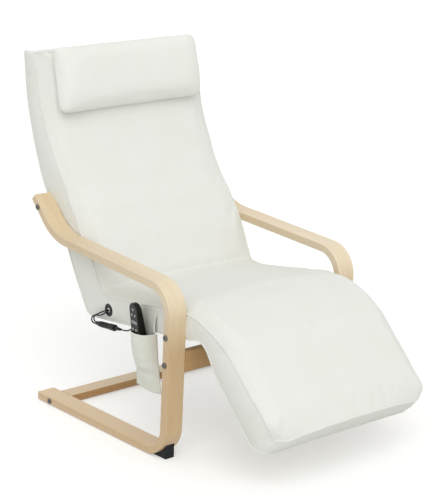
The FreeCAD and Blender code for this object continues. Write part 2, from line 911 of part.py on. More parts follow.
# Heater pad in a recess in the front of the back foam
heater_centre = point_on_pad(2, heater_path_share, 0.0)
heater_low = step(heater_centre, path_angles[2], -heater_length / 2)
heater_high = step(heater_centre, path_angles[2], heater_length / 2)


def heater_block(grow):
    low = step(heater_low, path_angles[2], -grow)
    high = step(heater_high, path_angles[2], grow)
    a = left_of(low, path_angles[2], foam_rear_depth)
    b = left_of(high, path_angles[2], foam_rear_depth)
    c = left_of(high, path_angles[2], 2 * pad_back_depth)
    d = left_of(low, path_angles[2], 2 * pad_back_depth)
    half = heater_width / 2 + grow
    return closed_face([a, b, c, d], -half).extrude(V(2 * half, 0, 0))


def heater_sheet(thickness, grow):
    """A thin layer that follows the front of the foam."""
    whole = pad_loft(inner_clear, inner_clear, inner_clear, inner_clear).common(heater_block(grow))
    under = pad_loft(-overrun, inner_clear + thickness, -overrun, inner_clear)
    return single(whole.cut(under))


heater_pad = heater_sheet(heater_thickness, 0.0)
heater_recess = heater_sheet(heater_thickness + sling_gap, sling_gap)
foam_back = single(foam_back.cut(heater_recess))
foam_seat = single(foam_seat)

# Control box in the tube layer under the seat
box_centre = point_on_pad(1, control_box_path_share, 0.0)
box_rear_depth = cover_thickness + cover_clearance
box_low = step(box_centre, path_angles[1], -control_box_length / 2)
box_high = step(box_centre, path_angles[1], control_box_length / 2)


def control_block(inset):
    low = step(box_low, path_angles[1], inset)
    high = step(box_high, path_angles[1], -inset)
    corners = [
        left_of(low, path_angles[1], box_rear_depth + inset),
        left_of(high, path_angles[1], box_rear_depth + inset),
        left_of(high, path_angles[1], box_rear_depth + control_box_height - inset),
        left_of(low, path_angles[1], box_rear_depth + control_box_height - inset),
    ]
    x_low = -tube_x + tube_diameter / 2 + control_box_from_side + inset
    return closed_face(corners, x_low).extrude(V(control_box_width - 2 * inset, 0, 0))


control_box = control_block(0.0)
control_box = rounded(control_box, control_box_round, control_box.Edges)
control_box = single(control_box.cut(control_block(control_box_wall)))

# Grommet through the side of the cover
grommet_flange_x = -pad_half - grommet_gap - grommet_flange
grommet = cylinder_x(grommet_flange_x, -pad_half - grommet_gap, grommet_y, grommet_height, grommet_diameter)
grommet_rim = edges_where(
    grommet, lambda e: abs(e.BoundBox.XMax - grommet_flange_x) < grommet_round / 100
)
grommet = rounded(grommet, grommet_round, grommet_rim)
neck = cylinder_x(
    -pad_half - grommet_gap - grommet_flange / 2,
    -layer_half - cover_clearance,
    grommet_y,
    grommet_height,
    grommet_neck_diameter,
)
grommet_bore_cut = cylinder_x(
    grommet_flange_x - overrun, -layer_half + overrun, grommet_y, grommet_height, grommet_bore
)
plate = cylinder_x(
    -layer_half - cover_clearance - grommet_flange,
    -layer_half - cover_clearance,
    grommet_y,
    grommet_height,
    grommet_bore,
)
lead_start_x = -layer_half - cover_clearance - grommet_flange
grommet = single(grommet.fuse(neck).cut(grommet_bore_cut).fuse(plate))
cover_grommet_hole = cylinder_x(
    -half_width, -tube_x, grommet_y, grommet_height, grommet_neck_diameter + 2 * grommet_gap
)
pad_cover = pad_cover.cut(cover_grommet_hole)
foam_seat = single(foam_seat.cut(cover_grommet_hole))

# In line connector beside the pad
connector_start = V(-pad_half - connector_x_outside_pad, connector_rear_y, connector_rear_height)
connector_axis = V(0, -math.cos(rad(connector_rise_angle)), math.sin(rad(connector_rise_angle)))


def along_connector(distance):
    return connector_start + connector_axis * distance


def turned(start_distance, length, rear_diameter, front_diameter):
    if abs(rear_diameter - front_diameter) < connector_edge / 100:
        return Part.makeCylinder(rear_diameter / 2, length, along_connector(start_distance), connector_axis)
    return Part.makeCone(
        rear_diameter / 2, front_diameter / 2, length, along_connector(start_distance), connector_axis
    )


socket_end = socket_boot_length + socket_length
socket_body = turned(socket_boot_length, socket_length, socket_diameter, socket_diameter)
socket_body = socket_body.fuse(
    turned(0.0, socket_boot_length, socket_boot_rear_diameter, socket_boot_front_diameter)
)
rib_step = socket_length / (socket_rib_count + 1)
for index in range(socket_rib_count):
    rib_start = socket_boot_length + rib_step * (index + 1) - socket_rib_width / 2
    socket_body = socket_body.fuse(turned(rib_start, socket_rib_width, socket_rib_diameter, socket_rib_diameter))
inline_socket = single(socket_body.removeSplitter())
plug_body = turned(socket_end, plug_length, plug_diameter, plug_diameter)
plug_rims = edges_where(plug_body, lambda e: e.Curve.TypeId == "Part::GeomCircle")
plug_body = rounded(plug_body, connector_edge, plug_rims)
plug_end = socket_end + plug_length + plug_boot_length
plug_boot = turned(socket_end + plug_length - connector_edge, plug_boot_length + connector_edge,
                   plug_boot_rear_diameter, plug_boot_front_diameter)
inline_plug = single(plug_body.fuse(plug_boot))

# ---------------------------------------------------------------- pocket
pad_side_x = -pad_half
flap_x = pad_side_x - pocket_gap
flap_outer_x = flap_x - fabric_thickness
pocket_rear_y = pocket_front_y + pocket_width
pocket_bottom_height = pocket_top_height - pocket_length
pocket_flap = box_at(
    flap_outer_x, flap_x, pocket_front_y, pocket_rear_y, pocket_bottom_height, pocket_top_height
)


def pocket_section(height, front_in, rear_in, bulge, inner):
    """Closed section of the pocket front: a straight back and one bowed arc."""
    thin = fabric_thickness if inner else 0.0
    back_x = flap_outer_x + (overrun if inner else 0.0)
    y_front = pocket_front_y + front_in + thin
    y_rear = pocket_rear_y - rear_in - thin
    y_middle = (y_front + y_rear) / 2
    front_corner = V(flap_outer_x, y_front, height)
    rear_corner = V(flap_outer_x, y_rear, height)
    apex = V(flap_outer_x - bulge + thin, y_middle, height)
    edges = [Part.Arc(front_corner, apex, rear_corner).toShape()]
    if inner:
        rear_back = V(back_x, y_rear, height)
        front_back = V(back_x, y_front, height)
        edges.append(Part.LineSegment(rear_corner, rear_back).toShape())
        edges.append(Part.LineSegment(rear_back, front_back).toShape())
        edges.append(Part.LineSegment(front_back, front_corner).toShape())
    else:
        edges.append(Part.LineSegment(rear_corner, front_corner).toShape())
    return Part.Wire(edges)


pocket_levels = [
    (pocket_bottom_height, pocket_seam_in, pocket_seam_in, pocket_bottom_bulge),
    (pocket_low_height, pocket_seam_in, pocket_seam_in, pocket_low_bulge),
    (pocket_mid_height, pocket_seam_in, pocket_seam_in, pocket_mid_bulge),
    (pocket_mouth_height, pocket_mouth_front_in, pocket_seam_in, pocket_mouth_bulge),
]
pocket_outer_wires = [pocket_section(h, f, r, b, False) for h, f, r, b in pocket_levels]
pocket_inner_levels = list(pocket_levels)
pocket_inner_levels[0] = (
    pocket_bottom_height + pocket_bottom_lift, pocket_seam_in, pocket_seam_in, pocket_bottom_bulge + fabric_thickness
)
pocket_inner_levels[-1] = (
    pocket_mouth_height + fabric_thickness, pocket_mouth_front_in, pocket_seam_in, pocket_mouth_bulge
)
pocket_inner_wires = [pocket_section(h, f, r, b, True) for h, f, r, b in pocket_inner_levels]
pocket_front = Part.makeLoft(pocket_outer_wires, True, False).cut(Part.makeLoft(pocket_inner_wires, True, False))
pocket_front = single(pocket_front)

# ---------------------------------------------------------------- handset
# Drawn upright with its back at x zero, its face towards -X and its bottom at z zero,
# then turned and put in the pocket.
handset_half = handset_width / 2


def handset_block(inset):
    depth_low = handset_depth_bottom - inset
    depth_high = handset_depth_top - inset
    back_shift = handset_depth_bottom - handset_depth_top
    side = [
        V(-inset, 0, inset),
        V(-inset, 0, handset_taper_start),
        V(-back_shift - inset, 0, handset_length - inset),
        V(-depth_low, 0, handset_length - inset),
        V(-depth_low, 0, inset),
    ]
    side = [V(p.x, -handset_half - overrun, p.z) for p in side]
    body = Part.Face(Part.makePolygon(side + [side[0]])).extrude(V(0, handset_width + 2 * overrun, 0))
    half = handset_half - inset
    corner = handset_top_radius - inset
    top = handset_length - inset
    slant = math.sin(rad(45)) * corner
    front = [
        Part.LineSegment(V(0, -half, inset), V(0, half, inset)).toShape(),
        Part.LineSegment(V(0, half, inset), V(0, half, top - corner)).toShape(),
        Part.Arc(
            V(0, half, top - corner),
            V(0, half - corner + slant, top - corner + slant),
            V(0, half - corner, top),
        ).toShape(),
        Part.LineSegment(V(0, half - corner, top), V(0, corner - half, top)).toShape(),
        Part.Arc(
            V(0, corner - half, top),
            V(0, corner - half - slant, top - corner + slant),
            V(0, -half, top - corner),
        ).toShape(),
        Part.LineSegment(V(0, -half, top - corner), V(0, -half, inset)).toShape(),
    ]
    sheet = Part.Face(Part.Wire(front))
    sheet.translate(V(overrun, 0, 0))
    outline = sheet.extrude(V(-handset_depth_bottom - 2 * overrun, 0, 0))
    return single(body.common(outline))


handset_outer = handset_block(0.0)
handset_outer = rounded(handset_outer, handset_edge_round, handset_outer.Edges)
handset_inner = handset_block(handset_wall)
handset_hollow = handset_outer.cut(handset_inner)
parting_x = -handset_depth_bottom + handset_face_depth
face_side = box_at(
    -2 * handset_depth_bottom, parting_x, -handset_width, handset_width, -overrun, handset_length + overrun
)
back_side = box_at(
    parting_x, handset_depth_bottom, -handset_width, handset_width, -overrun, handset_length + overrun
)
handset_front_shell = handset_hollow.common(face_side)
handset_back_shell = handset_hollow.common(back_side)
board_inset = handset_wall + board_margin
board = handset_block(board_inset).common(
    box_at(
        parting_x - board_thickness / 2,
        parting_x + board_thickness / 2,
        -handset_width,
        handset_width,
        strain_relief_length,
        handset_length - handset_top_radius / 2,
    )
)
board = single(board)
posts = []
for y_sign in (-1, 1):
    for z in (strain_relief_length + 2 * board_post_inset, handset_length - handset_top_radius - board_post_inset):
        y = y_sign * (handset_half - board_inset - board_post_inset)
        reach = Part.makeCylinder(
            board_post_diameter / 2,
            handset_depth_bottom,
            V(parting_x + board_thickness / 2, y, z),
            V(1, 0, 0),
        )
        posts.append(reach.common(handset_outer.cut(box_at(-2 * handset_depth_bottom, parting_x + board_thickness / 2,
                                                           -handset_width, handset_width, 0, handset_length))))
handset_back_shell = single(handset_back_shell.fuse(posts))

button_places = {
    "button_power": (0.0, button_row_top),
    "button_zone_upper": (button_pitch / 2, button_row_zone),
    "button_zone_lower": (-button_pitch / 2, button_row_zone),
    "button_level_up": (button_pitch / 2, button_row_level),
    "button_level_down": (-button_pitch / 2, button_row_level),
    "button_heat": (0.0, button_row_heat),
}
face_x = -handset_depth_bottom
buttons = {}
for name, (y, z) in button_places.items():
    hole = cylinder_x(
        face_x - overrun, face_x + handset_wall + button_flange_thickness, y, z, button_diameter + 2 * button_clearance
    )
    handset_front_shell = handset_front_shell.cut(hole)
    cap = cylinder_x(
        face_x - button_proud, face_x + handset_wall + button_flange_gap, y, z, button_diameter
    )
    cap_rim = edges_where(cap, lambda e: abs(e.BoundBox.XMax - (face_x - button_proud)) < button_edge / 100)
    cap = rounded(cap, button_edge, cap_rim)
    flange = cylinder_x(
        face_x + handset_wall + button_flange_gap,
        face_x + handset_wall + button_flange_gap + button_flange_thickness,
        y,
        z,
        button_flange_diameter,
    )
    buttons[name] = single(cap.fuse(flange))


def display_outline(grow, x0, x1):
    half = display_length / 2 + grow
    block = box_at(
        x0,
        x1,
        -half,
        half,
        display_centre - display_height / 2 - grow,
        display_centre + display_height / 2 + grow,
    )
    upright = edges_where(block, lambda e: abs(e.BoundBox.XLength - (x1 - x0)) < display_corner / 100)
    return rounded(block, display_corner, upright)


handset_front_shell = handset_front_shell.cut(
    display_outline(display_clearance, face_x - overrun, face_x + display_thickness)
)
handset_front_shell = single(handset_front_shell)
display_window = display_outline(0.0, face_x, face_x + display_thickness)
relief_x = -handset_depth_bottom / 2
strain_relief = Part.makeCone(
    strain_relief_end_diameter / 2,
    strain_relief_diameter / 2,
    strain_relief_length,
    V(relief_x, 0, -strain_relief_length),
    V(0, 0, 1),
)

handset_raw = {
    "handset_front_shell": handset_front_shell,
    "handset_back_shell": handset_back_shell,
    "handset_circuit_board": board,
    "handset_display_window": display_window,
    "handset_strain_relief": strain_relief,
}
handset_raw.update(buttons)
yaw_reach = handset_half * math.sin(rad(handset_yaw))
handset_x = flap_outer_x - handset_stand_off - yaw_reach


def placed_handset(shape):
    moved = shape.copy()
    moved.rotate(V(0, 0, 0), V(0, 0, 1), -handset_yaw)
    moved.rotate(V(0, 0, 0), V(0, 1, 0), -handset_lean)
    moved.translate(V(handset_x, handset_centre_y, handset_bottom_height))
    return moved


def placed_handset_point(x, y, z):
    c = math.cos(rad(-handset_yaw))
    s = math.sin(rad(-handset_yaw))
    x1 = x * c - y * s
    y1 = x * s + y * c
    cb = math.cos(rad(-handset_lean))
    sb = math.sin(rad(-handset_lean))
    x2 = x1 * cb + z * sb
    z2 = -x1 * sb + z * cb
    return V(x2 + handset_x, y1 + handset_centre_y, z2 + handset_bottom_height)


lead_in = placed_handset_point(relief_x, 0.0, -strain_relief_length)
lead_in_axis = placed_handset_point(relief_x, 0.0, -2 * strain_relief_length) - lead_in
lead_in_axis.normalize()

# ---------------------------------------------------------------- cords


def cord_solid(name, route, diameter, limit):
    """A tube along straight runs joined by arcs, with its radii printed."""
    points = [V(*p) for p in route]
    edges = []
    start = points[0]
    length = 0.0
    radii = []
    for index in range(1, len(points) - 1):
        before = points[index - 1] - points[index]
        after = points[index + 1] - points[index]
        run = min(before.Length, after.Length)
        turn = math.pi - before.getAngle(after)
        radius = arc_run_share * run / math.tan(turn / 2)
        radii.append(radius)
        before.normalize()
        after.normalize()
        reach = radius * math.tan(turn / 2)
        arc_start = points[index] + before * reach
        arc_end = points[index] + after * reach
        way = before + after
        way.normalize()
        middle = points[index] + way * (radius / math.cos(turn / 2) - radius)
        line = Part.LineSegment(start, arc_start).toShape()
        arc = Part.Arc(arc_start, middle, arc_end).toShape()
        edges += [line, arc]
        length += line.Length + arc.Length
        start = arc_end
    last = Part.LineSegment(start, points[-1]).toShape()
    edges.append(last)
    length += last.Length
    path = Part.Wire(edges)
    direction = points[1] - points[0]
    circle = Part.Wire(Part.makeCircle(diameter / 2, points[0], direction))
    tube = path.makePipeShell([circle], True, True)
    section = math.pi * diameter ** 2 / 4
    tightest = min(radii)
    print(
        name, "length", round(length, 1), "tightest radius", round(tightest, 1),
        "in diameters", round(tightest / diameter, 2), "volume share", round(tube.Volume / (section * length), 4),
    )
    if tightest < limit * diameter:
        print(name, "radii", [round(r, 1) for r in radii])
    return tube


lead_exit_x = lead_start_x
rear_of_socket = along_connector(0.0)
outer_exit = V(lead_exit_x, grommet_y + lead_pitch / 2, grommet_height)
inner_exit = V(lead_exit_x, grommet_y - lead_pitch / 2, grommet_height)
connector_up = V(0, math.sin(rad(connector_rise_angle)), math.cos(rad(connector_rise_angle)))
outer_in = rear_of_socket - connector_up * (lead_pitch / 2)
inner_in = rear_of_socket + connector_up * (lead_pitch / 2)


def off_pad(distance):
    return -pad_half - distance


def route_points(start, offsets):
    """Points given as distances out from the pad, along Y and up from a start (Y, Z)."""
    return [(off_pad(out), start[0] + along, start[1] + up) for out, along, up in offsets]


grommet_start = (grommet_y, grommet_height)
connector_rear = (connector_rear_y, connector_rear_height)
pocket_foot = (pocket_front_y, pocket_bottom_height)
route_lead_outer = [tuple(outer_exit)]
route_lead_outer += route_points(grommet_start, outer_lead_at_grommet)
route_lead_outer += route_points(connector_rear, outer_lead_at_connector)
route_lead_outer += [tuple(outer_in - connector_axis * outer_lead_straight), tuple(outer_in)]
route_lead_inner = [tuple(inner_exit)]
route_lead_inner += route_points(grommet_start, inner_lead_at_grommet)
route_lead_inner += route_points(connector_rear, inner_lead_at_connector)
route_lead_inner += [tuple(inner_in - connector_axis * inner_lead_straight), tuple(inner_in)]
plug_tip = along_connector(plug_end)
route_handset_lead = [tuple(plug_tip), tuple(along_connector(plug_end + handset_lead_straight))]
route_handset_lead += route_points(pocket_foot, handset_lead_in_pocket)
tail_route = route_points(pocket_foot, handset_lead_tail_points)
tail_start = tuple((V(*route_handset_lead[-1]) + V(*tail_route[0])) / 2)
route_handset_lead.append(tail_start)
tail_route.append(tuple(lead_in + lead_in_axis * handset_tail_straight))
tail_points = [tail_start] + tail_route + [tuple(lead_in)]

harness_lead_outer = cord_solid("harness_lead_outer", route_lead_outer, lead_diameter, lead_radius_limit)
harness_lead_inner = cord_solid("harness_lead_inner", route_lead_inner, lead_diameter, lead_radius_limit)
handset_lead = cord_solid("handset_lead", route_handset_lead, handset_lead_diameter, lead_radius_limit)
handset_lead_tail = cord_solid("handset_lead_tail", tail_points, handset_lead_diameter, lead_radius_limit)

# ---------------------------------------------------------------- head pillow
pad_head_top = offset_points(under_line, pad_head_depth + pad_crown)[-1]
head_dir = path_angles[3]
pillow_dir = 90 - pillow_tilt
pillow_back_top = left_of(
    (pad_head_top[0], pad_head_top[1] + pillow_top_over_pad), pillow_dir, pillow_gap
)


pillow_centre = step(pillow_back_top, pillow_dir, -pillow_height / 2)


def pillow_wire(x, share):
    """Pillow section at one x, share 1 in the middle and less towards its ends."""
    height = pillow_height - (1 - share) * pillow_side_draw
    thick = pillow_edge_thickness + (pillow_thickness - pillow_edge_thickness) * share
    back_in = (pillow_thickness - thick) / 2
    corners = []
    for along_share, depth_share in pillow_section_shares:
        level = step(pillow_centre, pillow_dir, along_share * height)
        corners.append(V(x, *left_of(level, pillow_dir, back_in + depth_share * thick)))
    corners.append(corners[0])
    edges = []
    for index in range(0, len(pillow_section_shares), 2):
        edges.append(Part.Arc(corners[index], corners[index + 1], corners[index + 2]).toShape())
    return Part.Wire(edges)


pillow_wires = []
for place, share in pillow_station_shares:
    pillow_wires.append(pillow_wire(place * pillow_width / 2, share))
pillow = Part.makeLoft(pillow_wires, True, False)


def strips(depth_from_back, thickness, along_start, length):
    pieces = []
    base = step(pillow_back_top, pillow_dir, -along_start)
    end = step(base, pillow_dir, -length)
    a = left_of(base, pillow_dir, -depth_from_back)
    b = left_of(end, pillow_dir, -depth_from_back)
    c = left_of(end, pillow_dir, -depth_from_back - thickness)
    d = left_of(base, pillow_dir, -depth_from_back - thickness)
    for sign in (-1, 1):
        x = sign * strip_spacing / 2 - strip_width / 2
        pieces.append(closed_face([a, b, c, d], x).extrude(V(strip_width, 0, 0)))
    return pieces


strip_start = (pillow_height - strip_length) / 2
hook_strips = strips(0.0, strip_thickness, strip_start, strip_length)


def loop_strip(sign):
    """A strip sewn on the front of the pad, facing a strip on the pillow."""
    outward = V(0, -math.sin(rad(head_dir)), math.cos(rad(head_dir)))
    outer_skin = pad_outer.translated(outward * (strip_gap + strip_thickness))
    inner_skin = pad_outer.translated(outward * strip_gap)
    centre_y, centre_z = pillow_centre
    x = sign * strip_spacing / 2
    block = box_at(
        x - strip_width / 2,
        x + strip_width / 2,
        centre_y - overrun,
        centre_y + pillow_thickness,
        centre_z - strip_length / 2,
        centre_z + strip_length / 2,
    )
    return single(block.common(outer_skin).cut(inner_skin))


loop_strips = [loop_strip(-1), loop_strip(1)]

# ---------------------------------------------------------------- node list
nodes["side_frame_right"] = single(frame_solid)
nodes["side_frame_left"] = mirrored(single(frame_solid))
nodes["front_cross_rail"] = single(rail)
nodes["rear_floor_stretcher"] = single(stretcher)
nodes["front_foot_right"] = foot
nodes["front_foot_left"] = mirrored(foot)
nodes["floor_glides"] = Part.makeCompound(glides + [mirrored(g) for g in glides])
nodes["arm_bolts"] = Part.makeCompound([arm_bolt, mirrored(arm_bolt)])
nodes["seat_bolts"] = Part.makeCompound([seat_bolt, mirrored(seat_bolt)])
nodes["rail_bolts"] = Part.makeCompound([rail_bolt, mirrored(rail_bolt)])
nodes["stretcher_bolts"] = Part.makeCompound([stretcher_bolt, mirrored(stretcher_bolt)])
nodes["rail_barrel_nuts"] = Part.makeCompound([rail_nut, mirrored(rail_nut)])
nodes["stretcher_barrel_nuts"] = Part.makeCompound([stretcher_nut, mirrored(stretcher_nut)])
nodes["frame_tube_right"] = side_tube
nodes["frame_tube_left"] = mirrored(side_tube)
for name, (y, z) in cross_places.items():
    nodes[name] = single(cross_tube(y, z))
nodes["arm_mount_bushes"] = Part.makeCompound([arm_bush, mirrored(arm_bush)])
nodes["seat_mount_bushes"] = Part.makeCompound([seat_bush, mirrored(seat_bush)])
nodes["support_sling"] = sling
nodes["foam_back"] = foam_back
nodes["foam_seat"] = foam_seat
nodes["pad_cover"] = single(pad_cover)
nodes["heater_pad"] = heater_pad
for zone, (shell, rotor) in motors.items():
    nodes["motor_housing_" + zone] = shell
    nodes["motor_rotor_" + zone] = rotor
nodes["control_box"] = control_box
nodes["side_grommet"] = grommet
nodes["inline_socket"] = inline_socket
nodes["inline_plug"] = inline_plug
nodes["harness_lead_outer"] = harness_lead_outer
nodes["harness_lead_inner"] = harness_lead_inner
nodes["handset_lead"] = handset_lead
nodes["handset_lead_tail"] = handset_lead_tail
nodes["pocket_flap"] = pocket_flap
nodes["pocket_front"] = pocket_front
for name, shape in handset_raw.items():
    nodes[name] = placed_handset(shape)
nodes["head_pillow"] = pillow
nodes["pillow_hook_strips"] = Part.makeCompound(hook_strips)
nodes["pillow_loop_strips"] = Part.makeCompound(loop_strips)

cord_nodes = (
    "harness_lead_outer", "harness_lead_inner", "handset_lead", "handset_lead_tail", "inline_socket", "inline_plug"
)
box = FreeCAD.BoundBox()
for name, shape in nodes.items():
    if name not in cord_nodes:
        box.add(shape.optimalBoundingBox(False, False))
shift = V(-box.Center.x, -box.Center.y, -box.ZMin)
os.makedirs("parts", exist_ok=True)
for name, shape in nodes.items():
    shape.translate(shift)
    shape.exportStep("parts/" + name + ".step")
    if not shape.isValid() or len(shape.Solids) == 0:
        print(name, "is not a sound solid")
print("nodes", len(nodes), "shift", [round(value, 3) for value in shift])
print("box", box)
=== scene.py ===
import json
import math
import bmesh
import bpy
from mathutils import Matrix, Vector, noise

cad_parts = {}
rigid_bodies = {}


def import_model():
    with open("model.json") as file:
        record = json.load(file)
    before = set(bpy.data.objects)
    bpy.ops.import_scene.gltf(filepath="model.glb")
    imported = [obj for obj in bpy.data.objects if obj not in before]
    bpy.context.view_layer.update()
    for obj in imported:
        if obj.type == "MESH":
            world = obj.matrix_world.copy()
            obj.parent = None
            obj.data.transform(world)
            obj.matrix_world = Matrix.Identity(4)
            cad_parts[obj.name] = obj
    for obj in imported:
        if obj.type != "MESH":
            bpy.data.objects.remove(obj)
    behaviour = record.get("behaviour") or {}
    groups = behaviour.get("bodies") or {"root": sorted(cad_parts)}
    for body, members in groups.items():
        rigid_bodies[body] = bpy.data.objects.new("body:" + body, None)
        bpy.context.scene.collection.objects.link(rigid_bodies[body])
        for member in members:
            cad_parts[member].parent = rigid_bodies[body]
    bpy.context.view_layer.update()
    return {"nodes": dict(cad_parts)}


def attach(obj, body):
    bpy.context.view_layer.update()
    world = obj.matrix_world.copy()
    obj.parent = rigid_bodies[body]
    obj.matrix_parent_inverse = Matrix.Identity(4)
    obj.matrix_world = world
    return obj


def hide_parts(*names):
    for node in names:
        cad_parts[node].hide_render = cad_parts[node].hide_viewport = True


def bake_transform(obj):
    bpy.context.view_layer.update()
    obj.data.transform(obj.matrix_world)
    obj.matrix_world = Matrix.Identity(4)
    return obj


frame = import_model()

# The drawing's own Y starts at the leg on the floor; the frame's starts under the middle.
SHIFT_Y = -176.44
ROOT = "chair"


def world(x, y, z):
    """A place on the drawing, in millimetres, as metres in the frame."""
    return Vector((x / 1000.0, (y + SHIFT_Y) / 1000.0, z / 1000.0))


# Camera
IMAGE_WIDTH = 437
IMAGE_HEIGHT = 495
SENSOR_HEIGHT = 36.0
CAMERA_LENS = 104.596
CAMERA_REACH = 60.0
CAMERA_PLACE = Vector((-2.5337, -3.08639, 1.53285))
CAMERA_AIM = Vector((-0.05067, -0.05791, 0.53196))

camera_data = bpy.data.cameras.new("camera")
camera = bpy.data.objects.new("camera", camera_data)
bpy.context.collection.objects.link(camera)
camera.location = CAMERA_PLACE
camera.rotation_euler = (CAMERA_AIM - CAMERA_PLACE).to_track_quat("-Z", "Y").to_euler()
camera_data.sensor_fit = "VERTICAL"
camera_data.sensor_height = SENSOR_HEIGHT
camera_data.sensor_width = SENSOR_HEIGHT * IMAGE_WIDTH / IMAGE_HEIGHT
camera_data.lens = CAMERA_LENS
camera_data.clip_end = CAMERA_REACH
bpy.context.scene.camera = camera


# Node helpers
class Graph:
    """Short calls for building a tree of shader nodes."""

    def __init__(self, tree):
        self.tree = tree
        tree.nodes.clear()

    def new(self, kind):
        return self.tree.nodes.new("ShaderNode" + kind)

    def link(self, source, target):
        self.tree.links.new(source, target)

    def put(self, socket, value):
        """Fills a socket with another node's result, a colour or a number."""
        if isinstance(value, bpy.types.NodeSocket):
            self.link(value, socket)
        elif isinstance(value, tuple):
            socket.default_value = (*value, 1.0)
        else:
            socket.default_value = value

    def filled(self, kind, *values):
        """A new node with its first sockets filled."""
        node = self.new(kind)
        for socket, value in zip(node.inputs, values):
            self.put(socket, value)
        return node

    def math(self, operation, *values):
        node = self.filled("Math", *values)
        node.operation = operation
        return node.outputs[0]

    def times(self, a, b):
        return self.math("MULTIPLY", a, b)

    def plus(self, a, b):
        return self.math("ADD", a, b)

    def minus(self, a, b):
        return self.math("SUBTRACT", a, b)

    def absolute(self, a):
        return self.math("ABSOLUTE", a)

    def separate(self, vector):
        x, y, z = self.filled("SeparateXYZ", vector).outputs
        return x, y, z

    def combine(self, x, y, z):
        return self.filled("CombineXYZ", x, y, z).outputs[0]

    def scaled(self, vector, scale):
        node = self.new("Mapping")
        self.link(vector, node.inputs["Vector"])
        node.inputs["Scale"].default_value = scale
        return node.outputs[0]

    def noise(self, vector, scale, detail=3.0, roughness=0.5, distortion=0.0):
        node = self.new("TexNoise")
        self.link(vector, node.inputs["Vector"])
        node.inputs["Scale"].default_value = scale
        node.inputs["Detail"].default_value = detail
        node.inputs["Roughness"].default_value = roughness
        node.inputs["Distortion"].default_value = distortion
        return node.outputs[0]

    def ramp(self, value, stops):
        node = self.filled("ValToRGB", value)
        points = node.color_ramp.elements
        while len(points) < len(stops):
            points.new(0.5)
        for point, (position, colour) in zip(points, stops):
            point.position = position
            point.color = (*colour, 1.0)
        return node.outputs[0]

    def span(self, value, low, high, to_low, to_high, smooth=False):
        """A number's way from low to high, as one from to_low to to_high."""
        node = self.filled("MapRange", value, low, high, to_low, to_high)
        node.clamp = True
        if smooth:
            node.interpolation_type = "SMOOTHSTEP"
        return node.outputs[0]

    def mix(self, share, a, b, kind="MIX"):
        node = self.filled("Mix", share)
        node.data_type = "RGBA"
        node.blend_type = kind
        self.put(node.inputs[6], a)
        self.put(node.inputs[7], b)
        return node.outputs[2]

    def choose(self, share, a, b):
        """The first number where the share is 0, and the second where it is 1."""
        node = self.filled("Mix", share)
        node.data_type = "FLOAT"
        self.put(node.inputs[2], a)
        self.put(node.inputs[3], b)
        return node.outputs[0]

    def shaded(self, colour, share):
        return self.mix(1.0, colour, self.combine(share, share, share), "MULTIPLY")

    def bump(self, height, strength, distance, normal=None):
        node = self.new("Bump")
        node.inputs["Strength"].default_value = strength
        node.inputs["Distance"].default_value = distance
        self.link(height, node.inputs["Height"])
        if normal is not None:
            self.link(normal, node.inputs["Normal"])
        return node.outputs[0]

    def seen_directly(self):
        """1 for what the camera sees by itself, in gloss or through glass."""
        rays = self.new("LightPath").outputs
        seen = self.math("MAXIMUM", rays["Is Camera Ray"], rays["Is Glossy Ray"])
        return self.math("MAXIMUM", seen, rays["Is Transmission Ray"])


class Finish(Graph):
    """A material with one main shader, and its place in the piece's own coordinates."""

    def __init__(self, name):
        self.material = bpy.data.materials.new(name)
        self.material.use_nodes = True
        super().__init__(self.material.node_tree)
        self.output = self.new("OutputMaterial")
        self.shader = self.new("BsdfPrincipled")
        self.link(self.shader.outputs[0], self.output.inputs["Surface"])
        self.place = self.new("TexCoord").outputs["Object"]

    def surface(self, colour, roughness, normal=None, **sockets):
        inputs = self.shader.inputs
        self.link(colour, inputs["Base Color"])
        self.put(inputs["Roughness"], roughness)
        if normal is not None:
            self.link(normal, inputs["Normal"])
        for name, value in sockets.items():
            inputs[name.replace("_", " ")].default_value = value
        return self.material


# Cloth
WEAVE = 0.00075
WRINKLE = 0.0006


def cloth(name, colour):
    """Off-white upholstery cloth: fine plain weave, faint slubs and soft unevenness."""
    n = Finish(name)
    x, y, z = n.separate(n.place)
    turn = math.tau / WEAVE
    warp = n.math("SINE", n.times(x, turn))
    along = n.plus(n.times(y, 0.83), n.times(z, 0.56))
    weft = n.math("SINE", n.times(along, turn))
    thread = n.times(warp, weft)
    fine = n.noise(n.place, 900.0, 2.0, 0.6)
    broad = n.noise(n.place, 9.0, 3.0, 0.55)
    slub = n.noise(n.scaled(n.place, (260.0, 30.0, 30.0)), 1.0, 2.0, 0.5)
    shade = n.span(broad, 0.3, 0.7, 0.975, 1.0)
    for pattern, low, high in ((slub, 0.3, 0.72), (fine, 0.2, 0.8), (thread, -1.0, 1.0)):
        shade = n.times(shade, n.span(pattern, low, high, 0.985, 1.0))
    warm = n.mix(n.span(broad, 0.35, 0.65, 0.0, 1.0), (1.0, 1.0, 0.985), (0.99, 0.995, 1.0))
    base = n.shaded(n.mix(1.0, colour, warm, "MULTIPLY"), shade)
    height = n.plus(n.times(thread, 0.5), n.times(fine, 0.9))
    normal = n.bump(height, 0.16, 0.0002)
    normal = n.bump(n.noise(n.place, 34.0, 3.0, 0.5, 0.4), 0.25, WRINKLE, normal)
    rough = n.span(fine, 0.2, 0.8, 0.84, 0.95)
    return n.surface(base, rough, normal, Sheen_Weight=0.12, Sheen_Roughness=0.5, Specular_IOR_Level=0.18)


